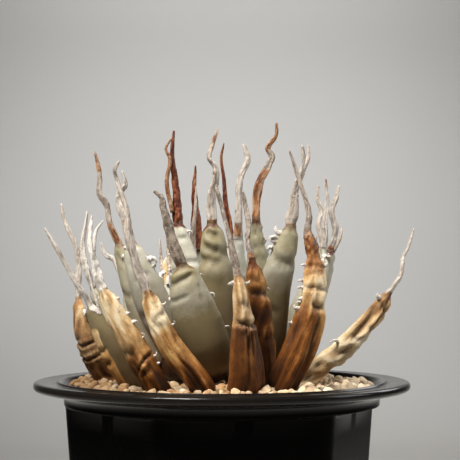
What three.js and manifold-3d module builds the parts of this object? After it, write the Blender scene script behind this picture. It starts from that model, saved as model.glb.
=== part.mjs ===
// A Utah agave rosette in a round-rimmed, six-sided pot, in millimetres, +Z up.
// The origin is the middle of the pot's foot, on the surface that it stands on; the viewer's side is -Y.
import * as THREE from 'three';
import { mergeVertices } from 'three/addons/utils/BufferGeometryUtils.js';
import Module from 'manifold-3d';

const wasm = await Module();
wasm.setup();

// Driving dimensions of the pot
const POT_HEIGHT = 120;
const RIM_RADIUS = 75;
const MOUTH_RADIUS = 63;
const COLLAR_RADIUS = 62;
const COLLAR_DEPTH = 9.5;
const BODY_TOP_RADIUS = 63;
const BODY_FOOT_RADIUS = 54.5;
const FOOT_RING_INNER = 46;
const FOOT_RECESS = 3;
const WALL = 3.2;
const FLANGE_ROOT_RADIUS = 64.6;
const FLANGE_ROOT_DEPTH = 5.6;
const FLANGE_DEPTH = 4;
const LIP_DEPTH = 2.4;
const LIP_BEVEL = 1.6;
const STEP = 0.2;
const MOUTH_BEVEL = 0.5;
const SHELF_RISE = 2.6;
const THROAT_DEPTH = 3.2;
const THROAT_NARROWING = 1.8;
const FLOOR_TOP = 7;
const CORNER_ROUNDING = 6;
const FIRST_CORNER = 9.5;
const DRAIN_RADIUS = 4.5;
const DRAIN_CIRCLE = 27;
const DRAIN_COUNT = 3;

// Driving dimensions of the filling and the plant
const GAP = 0.35;
const SOIL_BELOW_RIM = 2.8;
const ROSETTE = new THREE.Vector2(-7, -2);
const NEST_RADIUS = 37;
const NEST_FLOOR_RADIUS = 33;
const NEST_DEPTH = 12;
const STEM_RADIUS = 16;
const STEM_TOP = 15;
const STEM_SHOULDER = 4;
const ROOT_SHOULDER_DEPTH = 20;
const ROOT_DEPTH = 42;
const ROOT_NARROWING = 0.45;
const STONE_SPACING = 6.5;
const STONE_RISE = 1.3;
const VALLEY_DROP = 0.5;
const STONE_SHIFT = 0.9;
const HEAP = 1.8;
const GRAVEL_SEED = 77;

// Where a leaf's foot and the knee above it lie for each ring of the rosette: radius from the stem's
// axis, and height above the rim.
const RINGS = {
  outer: { footRadius: 12, footHeight: -7, kneeRadius: 29, kneeHeight: -5.5 },
  middle: { footRadius: 11, footHeight: 2, kneeRadius: 21, kneeHeight: 5 },
  inner: { footRadius: 5, footHeight: 10, kneeRadius: 8, kneeHeight: 16 },
  bud: { footRadius: 1, footHeight: 11, kneeRadius: 2, kneeHeight: 18 },
};

// The leaves, the ones that keep their whole form first. Points are x, y and the height above the rim:
// blade gives the low, middle and shoulder points of the blade's core line, spine the points from there
// to the tip, and fork a second point of the spine that splits off. Width and thick are the blade's
// widest and thickest, and spineWidth is the spine's foot. A facing in degrees turns the blade's back
// away from the radial direction (0 is +X, 90 is away from the viewer).
const LEAVES = [
  {
    name: 'leaf_front_plump', ring: 'middle', kind: 'green', width: 18.4, thick: 10, spineWidth: 4.4,
    blade: [[-4, -29, 10], [-10, -35, 27], [-14.6, -38, 45]],
    spine: [[-17.6, -38, 52.7], [-20.2, -38, 61.5], [-21.6, -38, 66.5], [-22.4, -38, 70], [-25, -38, 72.4]],
  },
  {
    name: 'leaf_front_dried', ring: 'outer', kind: 'flared', width: 14.5, thick: 7.5, spineWidth: 3.2,
    blade: [[8.7, -42, 0], [8, -47.5, 22], [6, -51, 41]],
    spine: [[4, -50, 50], [1.7, -48, 60], [-0.7, -47, 70], [-1.9, -47, 74]],
  },
  {
    name: 'leaf_front_right_dried', ring: 'outer', kind: 'notched', width: 12.4, thick: 8, spineWidth: 3.4,
    facing: -75,
    blade: [[21, -36.4, 0.5], [32.2, -41, 25], [33.8, -43, 48.5]],
    spine: [[31.8, -43, 57], [32.2, -43, 63.5], [31, -42, 70], [28.3, -40, 78.5], [25, -39, 87.5]],
  },
  {
    name: 'leaf_front_left_dried', ring: 'outer', kind: 'dried', width: 9.4, thick: 6.5, spineWidth: 3.8,
    blade: [[-6.5, -43.5, 0], [-19, -48.5, 17], [-26.6, -52, 35]],
    spine: [[-30.6, -52, 45], [-33.2, -51, 55], [-34.3, -49, 65], [-37.6, -47, 74.5], [-38.8, -47, 79.5],
      [-37.2, -47, 82.8]],
  },
  {
    name: 'leaf_left_front_dried', ring: 'outer', kind: 'dried', width: 10.6, thick: 6.5, spineWidth: 3.6,
    blade: [[-22.5, -44, -0.5], [-31.5, -48.5, 16], [-42.4, -52, 36]],
    spine: [[-45.2, -52, 44.5], [-47.3, -51, 54], [-47.1, -49, 62.6]],
    fork: [[-45.9, -51.5, 50], [-45.1, -51, 57], [-42.6, -51, 60.8]],
  },
  {
    name: 'leaf_front_brown', ring: 'outer', kind: 'dried', width: 10.5, thick: 6, spineWidth: 3.2,
    blade: [[14.6, -31.6, 1], [14.6, -37.5, 22], [11.3, -42, 46]],
    spine: [[9.8, -41, 53.5], [9.8, -40, 59], [8.8, -38, 67.5], [8, -38, 72.4]],
  },
  {
    name: 'leaf_front_centre', ring: 'middle', kind: 'green', width: 14.5, thick: 9, spineWidth: 4,
    blade: [[-1, -20, 14], [-2, -23.5, 38], [-3.7, -24, 61.5]],
    spine: [[-3.7, -24, 71], [-2.6, -24, 78], [-2.6, -24, 82.5], [-4.5, -24, 86.4], [-3.3, -24, 91],
      [-1.4, -24, 97]],
  },
  {
    name: 'leaf_right_plump', ring: 'middle', kind: 'green', width: 13.8, thick: 9, spineWidth: 4.4,
    facing: -70,
    blade: [[16.5, -17, 12], [20, -21.5, 36], [26.5, -24, 60.3]],
    spine: [[27.7, -24, 68.5], [28, -24, 73], [30.7, -24, 80], [31.6, -24, 84], [31, -24, 91]],
    fork: [[31.2, -24, 81.5], [33.3, -24, 87], [33.1, -24, 91]],
  },
  {
    name: 'leaf_far_left_dried', ring: 'outer', kind: 'dried', width: 14, thick: 8, spineWidth: 2.8,
    facing: -158,
    blade: [[-44.5, 0, 1], [-52, -5, 14], [-56.3, -8, 32.5]],
    spine: [[-56.4, -8, 46.5], [-58, -8, 54], [-62.3, -8, 63], [-63.6, -8, 69.6]],
  },
  {
    name: 'leaf_left_grey', ring: 'outer', kind: 'green', width: 12, thick: 7, spineWidth: 2.8,
    blade: [[-34, -27, 2], [-42, -30.5, 16], [-49.2, -33, 30.5]],
    spine: [[-54, -35, 38], [-61, -37, 50.5], [-65.4, -38, 58.7]],
  },
  {
    name: 'leaf_far_right_dried', ring: 'outer', kind: 'swept', width: 9.8, thick: 8.5, spineWidth: 2.8,
    facing: -50,
    blade: [[31, -15, 3], [46, -17, 13.5], [64.5, -20, 35]],
    spine: [[69, -20, 42], [69.9, -20, 47], [71.7, -20, 51.5], [74.1, -20, 59.3]],
  },
  {
    name: 'leaf_left_tall', ring: 'middle', kind: 'green', width: 14, thick: 8, spineWidth: 3.2,
    blade: [[-25.5, -13.5, 9.5], [-32, -12, 30], [-40.8, -10.5, 54.5]],
    spine: [[-43.9, -10, 61.5], [-45.3, -10, 69], [-47.9, -10, 74], [-48, -10, 79.5], [-48.8, -10, 85],
      [-50.2, -10, 90.2]],
  },
  {
    name: 'leaf_left_tall_inner', ring: 'middle', kind: 'green', width: 16, thick: 8, spineWidth: 4,
    blade: [[-16.5, -19.5, 10.5], [-27.2, -23.5, 33.5], [-34.4, -25, 53.5]],
    spine: [[-36.4, -25, 62.5], [-39.1, -25, 68.5], [-38.9, -25, 72.5], [-36.8, -25, 75.5],
      [-37.9, -25, 81.1]],
  },
  {
    name: 'leaf_centre_pale', ring: 'inner', kind: 'green', width: 13, thick: 7, spineWidth: 4,
    blade: [[-11, -9, 27], [-14, -10, 44], [-17.2, -10, 62]],
    spine: [[-17.7, -10, 72], [-18.7, -10, 80], [-19.7, -10, 88], [-18.9, -10, 98.3]],
    fork: [[-19.3, -11.5, 66], [-21.6, -12, 77.5], [-20.4, -12, 87], [-22, -11.5, 91], [-20, -11, 95]],
  },
  {
    name: 'leaf_back_right_tall', ring: 'middle', kind: 'green', width: 10.5, thick: 7, spineWidth: 3.6,
    facing: 60,
    blade: [[12, 6, 18], [14, 7, 41], [13.8, 6, 64.3]],
    spine: [[15, 6, 78], [18.7, 6, 86], [20.2, 6, 90], [18.5, 6, 93], [21.8, 6, 98.5], [22.3, 6, 103.4]],
  },
  {
    name: 'leaf_right_green', ring: 'middle', kind: 'green', width: 12, thick: 7.5, spineWidth: 3.6,
    blade: [[27, -6.7, 12], [35.9, -9.7, 32], [42.6, -12, 52]],
    spine: [[44.3, -12, 59.5], [42.9, -12, 66], [44.7, -12, 71], [45.9, -12, 76.5]],
  },
  {
    name: 'leaf_right_small', ring: 'middle', kind: 'green', width: 9, thick: 6, spineWidth: 2.4,
    blade: [[25, -19, 9], [30, -23, 26], [34.5, -26, 42]],
    spine: [[35, -27, 49], [36, -27, 56]],
  },
  {
    name: 'leaf_left_behind', ring: 'middle', kind: 'green', width: 11, thick: 6.5, spineWidth: 3.2,
    blade: [[-34, -11, 8], [-42, -15, 21], [-49.5, -19, 37]],
    spine: [[-53, -20, 46.5], [-53.9, -19, 53], [-52, -17, 66]],
  },
  {
    name: 'leaf_left_low', ring: 'middle', kind: 'green', width: 11, thick: 6.5, spineWidth: 3.2,
    blade: [[-27, 6, 8], [-34, 8.5, 22], [-38.9, 10, 35]],
    spine: [[-42.6, 10, 44], [-45.3, 10, 48.7], [-47.8, 10, 50], [-49.6, 10, 54.6]],
  },
  {
    name: 'leaf_back_left_tan', ring: 'middle', kind: 'dried', width: 9, thick: 5.5, spineWidth: 2.2,
    blade: [[-14, 17, 10], [-19, 22, 30], [-22.6, 26, 50]],
    spine: [[-22.3, 27, 58], [-22.6, 27, 64]],
  },
  {
    name: 'leaf_right_back_low', ring: 'middle', kind: 'green', width: 10, thick: 6, spineWidth: 2.4,
    blade: [[27, 3, 10], [36.5, 3.5, 28], [43.4, 4, 48]],
    spine: [[47.6, 4, 56], [48.4, 4, 61]],
  },
  {
    name: 'leaf_right_back_middle', ring: 'middle', kind: 'green', width: 10, thick: 6, spineWidth: 3,
    blade: [[27, 12, 10], [35, 14, 32], [41.5, 15, 52.5]],
    spine: [[39.9, 15, 62.5], [40.8, 15, 68], [39.6, 15, 72.5], [40, 15, 78.3]],
  },
  {
    name: 'leaf_right_back_tall', ring: 'middle', kind: 'green', width: 10, thick: 6, spineWidth: 3,
    blade: [[23, 23, 10], [34, 27, 32], [43, 29, 52]],
    spine: [[43.6, 29, 64], [44.6, 29, 74.5], [43.8, 29, 82.3]],
  },
  {
    name: 'leaf_inner_cream', ring: 'inner', kind: 'green', width: 8.5, thick: 5, spineWidth: 4.6,
    blade: [[5, -7, 22], [6.5, -9, 40], [6.3, -10, 56]],
    spine: [[6.7, -10, 67], [7.1, -10, 79], [9.9, -10, 87], [8.7, -10, 93]],
  },
  {
    name: 'leaf_inner_back', ring: 'inner', kind: 'green', width: 8, thick: 5, spineWidth: 2.4,
    blade: [[-1, 8, 22], [2, 11, 40], [3.6, 13, 58]],
    spine: [[1.5, 13, 70.5], [0.7, 13, 81], [-0.5, 13, 90], [0.7, 13, 96]],
  },
  {
    name: 'bud_spear', ring: 'bud', kind: 'bud', width: 9, thick: 8, spineWidth: 6, facing: 90,
    blade: [[-8.5, 2.5, 27], [-9.8, 4, 40], [-10.2, 4, 52]],
    spine: [[-10.5, 4, 62], [-11, 4, 76], [-10.9, 4, 85.8]],
  },
  {
    name: 'bud_outer_leaf', ring: 'inner', kind: 'green', width: 6, thick: 4, spineWidth: 2.2,
    blade: [[-8, -3.5, 24], [-10, -3, 37], [-11.2, -3, 50]],
    spine: [[-11.3, -3, 60], [-10.4, -3, 70], [-10.3, -3, 76.7]],
  },
];

// The leaves that others hide, by rule: count and angles round the rosette, and radius and height of the
// low, middle and shoulder points and of the spine's points.
const HIDDEN = [
  {
    name: 'leaf_back_outer', ring: 'outer', kind: 'dried', count: 7, from: 38, to: 152,
    width: 13.5, thick: 7, spineWidth: 3, teeth: 2,
    blade: [[41, 0], [48, 10], [54, 20]], spine: [[58, 25.5], [62, 33]],
  },
  {
    name: 'leaf_back_middle', ring: 'middle', kind: 'green', count: 4, from: 58, to: 150,
    width: 12, thick: 6.5, spineWidth: 3, teeth: 2,
    blade: [[26, 9], [32, 26], [36, 43]], spine: [[39, 49], [41, 57]],
  },
  {
    name: 'leaf_heart', ring: 'inner', kind: 'green', count: 4, from: -42, to: 160,
    width: 9, thick: 4.5, spineWidth: 2.6, teeth: 0,
    blade: [[11, 22], [13.5, 32], [15, 42]], spine: [[15.5, 47], [15.5, 53]],
  },
];

// Blade and spine sections, six points round: across the blade in half widths, and through it in
// thicknesses, the back first.
const BLADE_SECTION = [[1, 0], [0.5, 0.66], [-0.5, 0.66], [-1, 0], [-0.4, -0.28], [0.4, -0.28]];
const SPINE_SECTION = [[1, 0], [0.5, 0.8], [-0.5, 0.8], [-1, 0], [-0.5, -0.8], [0.5, -0.8]];
const BLADE_STATIONS = [0, 0.28, 0.5, 0.66, 0.8, 0.9, 0.97];
const BLADE_CONTROLS = 4;
const SPINE_START = 0.25;

// How wide a blade is along its length, as a share of its widest
const GREEN_OUTLINE = [
  [0, 0.55], [0.25, 0.75], [0.5, 0.92], [0.6, 0.98], [0.7, 1], [0.8, 0.9], [0.87, 0.74], [0.93, 0.61],
  [0.97, 0.51], [1, 0.36],
];
const DRIED_OUTLINE = [
  [0, 0.62], [0.3, 0.88], [0.5, 0.97], [0.65, 1], [0.78, 0.92], [0.88, 0.8], [0.95, 0.68], [1, 0.5],
];
const FLARED_OUTLINE = [
  [0, 0.6], [0.3, 0.9], [0.52, 0.97], [0.63, 0.86], [0.7, 0.74], [0.76, 0.6], [0.81, 0.47], [0.9, 0.41],
  [1, 0.29],
];
const NOTCHED_OUTLINE = [
  [0, 0.5], [0.3, 0.62], [0.5, 0.85], [0.6, 0.97], [0.7, 1], [0.745, 0.97], [0.775, 0.86], [0.8, 0.7],
  [0.84, 0.68], [0.88, 0.68], [0.94, 0.62], [1, 0.42],
];
const SWEPT_OUTLINE = [
  [0, 0.5], [0.3, 0.62], [0.5, 0.8], [0.6, 0.96], [0.7, 1], [0.82, 0.96], [0.88, 0.8], [0.95, 0.64],
  [1, 0.46],
];
const OUTLINES = {
  green: GREEN_OUTLINE, bud: GREEN_OUTLINE,
  dried: DRIED_OUTLINE, flared: FLARED_OUTLINE, notched: NOTCHED_OUTLINE, swept: SWEPT_OUTLINE,
};
const DRY_KINDS = ['dried', 'flared', 'notched', 'swept'];
const THICKNESS_ALONG = [[0, 0.5], [0.3, 0.85], [0.6, 1], [0.85, 0.78], [1, 0.4]];
const SPINE_TAPER = [[0, 1], [0.3, 0.8], [0.6, 0.62], [0.85, 0.48], [1, 0.26]];
const BUD_TAPER = [[0, 1], [1, 0.12]];
// A blade is never narrower or thinner than its spine's foot times these
const LEAST_WIDTH = 1.15;
const LEAST_THICKNESS = 0.8;
const FORK_RADIUS = [[0, 0.2], [1, 0.1]];
const SHRIVEL = 0.1;
const THINNEST = 0.36;
const FINEST = 0.02;

// Teeth on the margins
const TOOTH_LENGTH = 2.6;
const TOOTH_ROOT = 1.1;
const TOOTH_SUNK = 0.9;
const LEAST_ROOT = 0.1;
const TOOTH_FIRST = 0.62;
const TOOTH_LAST = 0.93;
const TOOTH_COUNT = 3;
const TOOTH_UNEVEN = 0.25;
const TOOTH_HOOK = 0.5;

// A maker of repeatable random numbers from -1 to 1, one for each thing that needs them
function randomFrom(seed) {
  let state = seed;
  return () => {
    state = (state * 1664525 + 1013904223) % 4294967296;
    return (state / 4294967296) * 2 - 1;
  };
}

// The value of a line of [place, value] points at a place between them
function along(points, place) {
  for (let i = 1; i < points.length; i += 1) {
    const [start, low] = points[i - 1];
    const [end, high] = points[i];
    if (place <= end) return THREE.MathUtils.mapLinear(place, start, end, low, high);
  }
  return points[points.length - 1][1];
}

function radians(degrees) {
  return (degrees * Math.PI) / 180;
}

// A closed solid from a three.js geometry
function solidOf(geometry) {
  const plain = geometry.clone();
  plain.deleteAttribute('normal');
  plain.deleteAttribute('uv');
  const merged = mergeVertices(plain);
  return new wasm.Manifold(new wasm.Mesh({
    numProp: 3,
    vertProperties: new Float32Array(merged.attributes.position.array),
    triVerts: new Uint32Array(merged.index.array),
  }));
}

// Back from a solid to a three.js geometry
function geometryOf(solid) {
  const mesh = solid.getMesh();
  const geometry = new THREE.BufferGeometry();
  geometry.setAttribute('position', new THREE.BufferAttribute(new Float32Array(mesh.vertProperties), 3));
  geometry.setIndex(new THREE.BufferAttribute(new Uint32Array(mesh.triVerts), 1));
  geometry.computeVertexNormals();
  return geometry;
}

// A closed skin over rings of points, each with the same number of points, and a point at each end
function loft(first, rings, last) {
  const count = rings[0].length;
  const points = [first, ...rings.flat(), last];
  const triangles = [];
  for (let i = 0; i < count; i += 1) {
    const next = (i + 1) % count;
    triangles.push(0, 1 + next, 1 + i);
    for (let ring = 0; ring < rings.length - 1; ring += 1) {
      const low = 1 + ring * count;
      const high = low + count;
      triangles.push(low + i, low + next, high + next);
      triangles.push(low + i, high + next, high + i);
    }
    const top = 1 + (rings.length - 1) * count;
    triangles.push(top + i, top + next, points.length - 1);
  }
  const geometry = new THREE.BufferGeometry();
  geometry.setAttribute('position', new THREE.Float32BufferAttribute(points.flatMap((p) => p.toArray()), 3));
  geometry.setIndex(triangles);
  return geometry;
}

// The largest of the bodies that a cut leaves
function largestBody(solid) {
  const bodies = solid.decompose();
  return bodies.reduce((best, body) => (body.volume() > best.volume() ? body : best));
}

function boxesMeet(a, b) {
  const first = a.boundingBox();
  const second = b.boundingBox();
  return [0, 1, 2].every((k) => first.min[k] < second.max[k] && second.min[k] < first.max[k]);
}

// Directions round the pot: five for each of the six corners, the corner's rounding among them
const SIDE_STEPS = [-30, -17, -3, 3, 17];
const HALF_SIDE = radians(30);
const DIRECTIONS = [0, 1, 2, 3, 4, 5].flatMap((side) => (
  SIDE_STEPS.map((step) => ({ angle: radians(FIRST_CORNER + side * 60 + step), step: radians(step) }))
));

// The distance from the axis to a six-sided outline with rounded corners
function hexagonRadius(cornerRadius, step) {
  const flat = cornerRadius * Math.cos(HALF_SIDE);
  const centre = cornerRadius - CORNER_ROUNDING / Math.cos(HALF_SIDE);
  const tangent = Math.atan2(CORNER_ROUNDING / 2, centre + CORNER_ROUNDING * Math.cos(HALF_SIDE));
  if (Math.abs(step) >= tangent) return flat / Math.cos(HALF_SIDE - Math.abs(step));
  const reach = centre * Math.sin(step);
  return centre * Math.cos(step) + Math.sqrt(CORNER_ROUNDING ** 2 - reach ** 2);
}

// One level of the pot: round, or six-sided
function potRing([radius, height, shape]) {
  return DIRECTIONS.map(({ angle, step }) => {
    const distance = shape === 'hexagon' ? hexagonRadius(radius, step) : radius;
    return new THREE.Vector3(distance * Math.cos(angle), distance * Math.sin(angle), height);
  });
}

// The inside of the pot from the floor up
const INSIDE = [
  [BODY_FOOT_RADIUS - WALL, FLOOR_TOP, 'hexagon'],
  [BODY_TOP_RADIUS - WALL, POT_HEIGHT - COLLAR_DEPTH + SHELF_RISE, 'hexagon'],
  [MOUTH_RADIUS - THROAT_NARROWING, POT_HEIGHT - THROAT_DEPTH, 'round'],
  [MOUTH_RADIUS - MOUTH_BEVEL, POT_HEIGHT - MOUTH_BEVEL, 'round'],
  [MOUTH_RADIUS, POT_HEIGHT + MOUTH_BEVEL, 'round'],
];

// The space inside the pot, with a dome over its mouth, smaller by a gap all round for the filling
function insideOfPot(gap) {
  const inward = gap / Math.cos(HALF_SIDE);
  const levels = INSIDE.map(([radius, height, shape]) => [radius - inward, height + gap, shape]);
  const bottom = new THREE.Vector3(0, 0, levels[0][1]);
  const dome = new THREE.Vector3(0, 0, POT_HEIGHT + RIM_RADIUS);
  return solidOf(loft(bottom, levels.map(potRing), dome));
}

function makePot() {
  const top = POT_HEIGHT;
  const underCollar = top - COLLAR_DEPTH;
  const levels = [
    [FOOT_RING_INNER, FOOT_RECESS, 'hexagon'],
    [FOOT_RING_INNER + STEP, 0, 'hexagon'],
    [BODY_FOOT_RADIUS, 0, 'hexagon'],
    [BODY_TOP_RADIUS, underCollar, 'hexagon'],
    [COLLAR_RADIUS + STEP, underCollar + STEP, 'round'],
    [FLANGE_ROOT_RADIUS, top - FLANGE_ROOT_DEPTH, 'round'],
    [RIM_RADIUS - FLANGE_DEPTH, top - FLANGE_DEPTH, 'round'],
    [RIM_RADIUS, top - LIP_DEPTH, 'round'],
    [RIM_RADIUS - LIP_BEVEL, top, 'round'],
  ];
  const below = new THREE.Vector3(0, 0, FOOT_RECESS);
  const above = new THREE.Vector3(0, 0, top);
  let pot = solidOf(loft(below, levels.map(potRing), above)).subtract(insideOfPot(0));
  for (let i = 0; i < DRAIN_COUNT; i += 1) {
    const angle = (i / DRAIN_COUNT) * Math.PI * 2;
    const drain = new THREE.CylinderGeometry(DRAIN_RADIUS, DRAIN_RADIUS, 4 * FLOOR_TOP, 12);
    drain.rotateX(Math.PI / 2);
    drain.translate(DRAIN_CIRCLE * Math.cos(angle), DRAIN_CIRCLE * Math.sin(angle), FLOOR_TOP / 2);
    pot = pot.subtract(solidOf(drain));
  }
  return pot;
}

// The short stem that the leaves grow from, with its root below
function makeStem(grown) {
  const top = POT_HEIGHT + STEM_TOP + grown;
  const radius = STEM_RADIUS + grown;
  const shoulder = POT_HEIGHT + STEM_SHOULDER;
  const outline = [
    new THREE.Vector2(0, POT_HEIGHT - ROOT_DEPTH - grown),
    new THREE.Vector2(radius * ROOT_NARROWING, POT_HEIGHT - ROOT_DEPTH - grown),
    new THREE.Vector2(radius, POT_HEIGHT - ROOT_SHOULDER_DEPTH),
    new THREE.Vector2(radius, shoulder),
    new THREE.Vector2(radius * 0.82, THREE.MathUtils.lerp(shoulder, top, 0.5)),
    new THREE.Vector2(radius * 0.5, THREE.MathUtils.lerp(shoulder, top, 0.85)),
    new THREE.Vector2(0, top),
  ];
  const geometry = new THREE.LatheGeometry(outline, 24);
  geometry.rotateX(Math.PI / 2);
  geometry.translate(ROSETTE.x, ROSETTE.y, 0);
  return solidOf(geometry);
}

// The core line of a leaf, from its foot in the stem to the tip of its spine
function coreLine(leaf) {
  const ring = RINGS[leaf.ring];
  const [lowX, lowY] = leaf.blade[0];
  const angle = Math.atan2(lowY - ROSETTE.y, lowX - ROSETTE.x);
  const onRay = (radius, height) => new THREE.Vector3(
    ROSETTE.x + radius * Math.cos(angle), ROSETTE.y + radius * Math.sin(angle), height);
  const given = [...leaf.blade, ...leaf.spine].map((p) => new THREE.Vector3(...p));
  const points = [onRay(ring.footRadius, ring.footHeight), onRay(ring.kneeRadius, ring.kneeHeight), ...given];
  points.forEach((point) => { point.z += POT_HEIGHT; });
  const facing = leaf.facing === undefined ? angle : radians(leaf.facing);
  return { points, curve: new THREE.CatmullRomCurve3(points), facing };
}

// The frame across a core line at a place on it: across the blade, and out of its back
function frameAt(line, place) {
  const tangent = line.curve.getTangent(place);
  const across = new THREE.Vector3(Math.sin(line.facing), -Math.cos(line.facing), 0);
  across.addScaledVector(tangent, -across.dot(tangent)).normalize();
  const back = new THREE.Vector3().crossVectors(tangent, across);
  return { centre: line.curve.getPoint(place), across, back };
}

function sectionRing(frame, section, halfWidth, thickness, grown, uneven = () => 1) {
  return section.map(([w, n]) => {
    const length = Math.hypot(w * halfWidth, n * thickness);
    const out = (length * uneven() + grown) / length;
    return frame.centre.clone()
      .addScaledVector(frame.across, w * halfWidth * out)
      .addScaledVector(frame.back, n * thickness * out);
  });
}

// A blade's half width and thickness at a share of its length
function bladeSize(leaf, share) {
  const outline = OUTLINES[leaf.kind];
  const halfWidth = Math.max(along(outline, share) * leaf.width, leaf.spineWidth * LEAST_WIDTH) / 2;
  const thickness = Math.max(along(THICKNESS_ALONG, share) * leaf.thick, leaf.spineWidth * LEAST_THICKNESS);
  return { halfWidth, thickness };
}

// One leaf: blade and spine in one skin, grown outward by a margin where it makes room in a neighbour
function leafSkin(leaf, grown) {
  const line = coreLine(leaf);
  const last = line.points.length - 1;
  const random = randomFrom(leaf.number);
  const uneven = () => (DRY_KINDS.includes(leaf.kind) ? 1 + SHRIVEL * random() : 1);
  const rings = BLADE_STATIONS.map((share) => {
    const { halfWidth, thickness } = bladeSize(leaf, share);
    const frame = frameAt(line, (share * BLADE_CONTROLS) / last);
    return sectionRing(frame, BLADE_SECTION, halfWidth, thickness, grown, uneven);
  });
  for (let i = BLADE_CONTROLS; i < last; i += 1) {
    const place = i === BLADE_CONTROLS ? i + SPINE_START : i;
    const share = (place - BLADE_CONTROLS) / (last - BLADE_CONTROLS);
    const taper = leaf.kind === 'bud' ? BUD_TAPER : SPINE_TAPER;
    const radius = Math.max((leaf.spineWidth * along(taper, share)) / 2, THINNEST);
    rings.push(sectionRing(frameAt(line, place / last), SPINE_SECTION, radius, radius, grown));
  }
  const tip = frameAt(line, 1);
  rings.push(sectionRing(tip, SPINE_SECTION, THINNEST, THINNEST, grown));
  const end = tip.centre.clone().addScaledVector(line.curve.getTangent(1), THINNEST + grown);
  const foot = line.points[0].clone();
  return loft(foot, rings, end);
}

// A spine's second point: a thin tapering rod from inside the spine
function forkSkin(leaf, grown) {
  const points = leaf.fork.map(([x, y, z]) => new THREE.Vector3(x, y, z + POT_HEIGHT));
  const line = { curve: new THREE.CatmullRomCurve3(points), facing: radians(-90) };
  const rings = points.map((_, i) => {
    const share = i / (points.length - 1);
    const radius = Math.max(leaf.spineWidth * along(FORK_RADIUS, share), THINNEST);
    return sectionRing(frameAt(line, share), SPINE_SECTION, radius, radius, grown);
  });
  const end = points[points.length - 1].clone().addScaledVector(line.curve.getTangent(1), THINNEST + grown);
  return loft(points[0], rings, end);
}

function leafSolid(leaf, grown) {
  const body = solidOf(leafSkin(leaf, grown));
  return leaf.fork ? body.add(solidOf(forkSkin(leaf, grown))) : body;
}

// The teeth of one leaf: three-sided points sunk into both margins, hooked a little up or down
function teethOf(leaf) {
  const line = coreLine(leaf);
  const last = line.points.length - 1;
  const random = randomFrom(leaf.number + 500);
  const teeth = [];
  const count = leaf.teeth ?? TOOTH_COUNT;
  for (const side of [1, -1]) {
    for (let i = 0; i < count; i += 1) {
      const step = (i + TOOTH_UNEVEN * random()) / (TOOTH_COUNT - 1);
      const share = THREE.MathUtils.lerp(TOOTH_FIRST, TOOTH_LAST, step);
      const frame = frameAt(line, (share * BLADE_CONTROLS) / last);
      const { halfWidth } = bladeSize(leaf, share);
      const length = TOOTH_LENGTH * (1 + TOOTH_UNEVEN * random()) + TOOTH_SUNK;
      const tooth = new THREE.ConeGeometry(TOOTH_ROOT, length, 3);
      tooth.translate(0, length / 2 - TOOTH_SUNK, 0);
      const direction = frame.across.clone().multiplyScalar(side);
      direction.z += TOOTH_HOOK * random();
      direction.normalize();
      tooth.applyQuaternion(new THREE.Quaternion().setFromUnitVectors(new THREE.Vector3(0, 1, 0), direction));
      const root = frame.centre.clone().addScaledVector(frame.across, side * halfWidth);
      tooth.translate(root.x, root.y, root.z);
      teeth.push(solidOf(tooth));
    }
  }
  return teeth;
}

// The hidden leaves of one rule, spread evenly between its angles
function hiddenLeaves(rule) {
  return Array.from({ length: rule.count }, (_, i) => {
    const angle = radians(THREE.MathUtils.lerp(rule.from, rule.to, i / (rule.count - 1)));
    const place = ([radius, height]) => (
      [ROSETTE.x + radius * Math.cos(angle), ROSETTE.y + radius * Math.sin(angle), height]);
    const name = `${rule.name}_${i + 1}`;
    return { ...rule, name, blade: rule.blade.map(place), spine: rule.spine.map(place) };
  });
}

// All leaves, without teeth: each one gives way at its base to the stem and to the leaves before it
function makeLeaves() {
  const room = [makeStem(GAP)];
  return [...LEAVES, ...HIDDEN.flatMap(hiddenLeaves)].map((row, number) => {
    const leaf = { ...row, number };
    let solid = leafSolid(leaf, 0);
    for (const taken of room) {
      if (boxesMeet(solid, taken)) solid = solid.subtract(taken);
    }
    room.push(leafSolid(leaf, GAP));
    return { leaf, solid: largestBody(solid.simplify(FINEST)) };
  });
}

// The teeth that have room, fused to their leaves
function addTeeth(leaves, soil) {
  for (const entry of leaves) {
    const others = [soil, ...leaves.filter((other) => other !== entry).map(({ solid }) => solid)];
    for (const tooth of teethOf(entry.leaf)) {
      const clear = others.every((solid) => tooth.minGap(solid, GAP) >= GAP);
      const rooted = tooth.intersect(entry.solid).volume() > LEAST_ROOT;
      if (clear && rooted) entry.solid = entry.solid.add(tooth);
    }
  }
}

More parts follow.
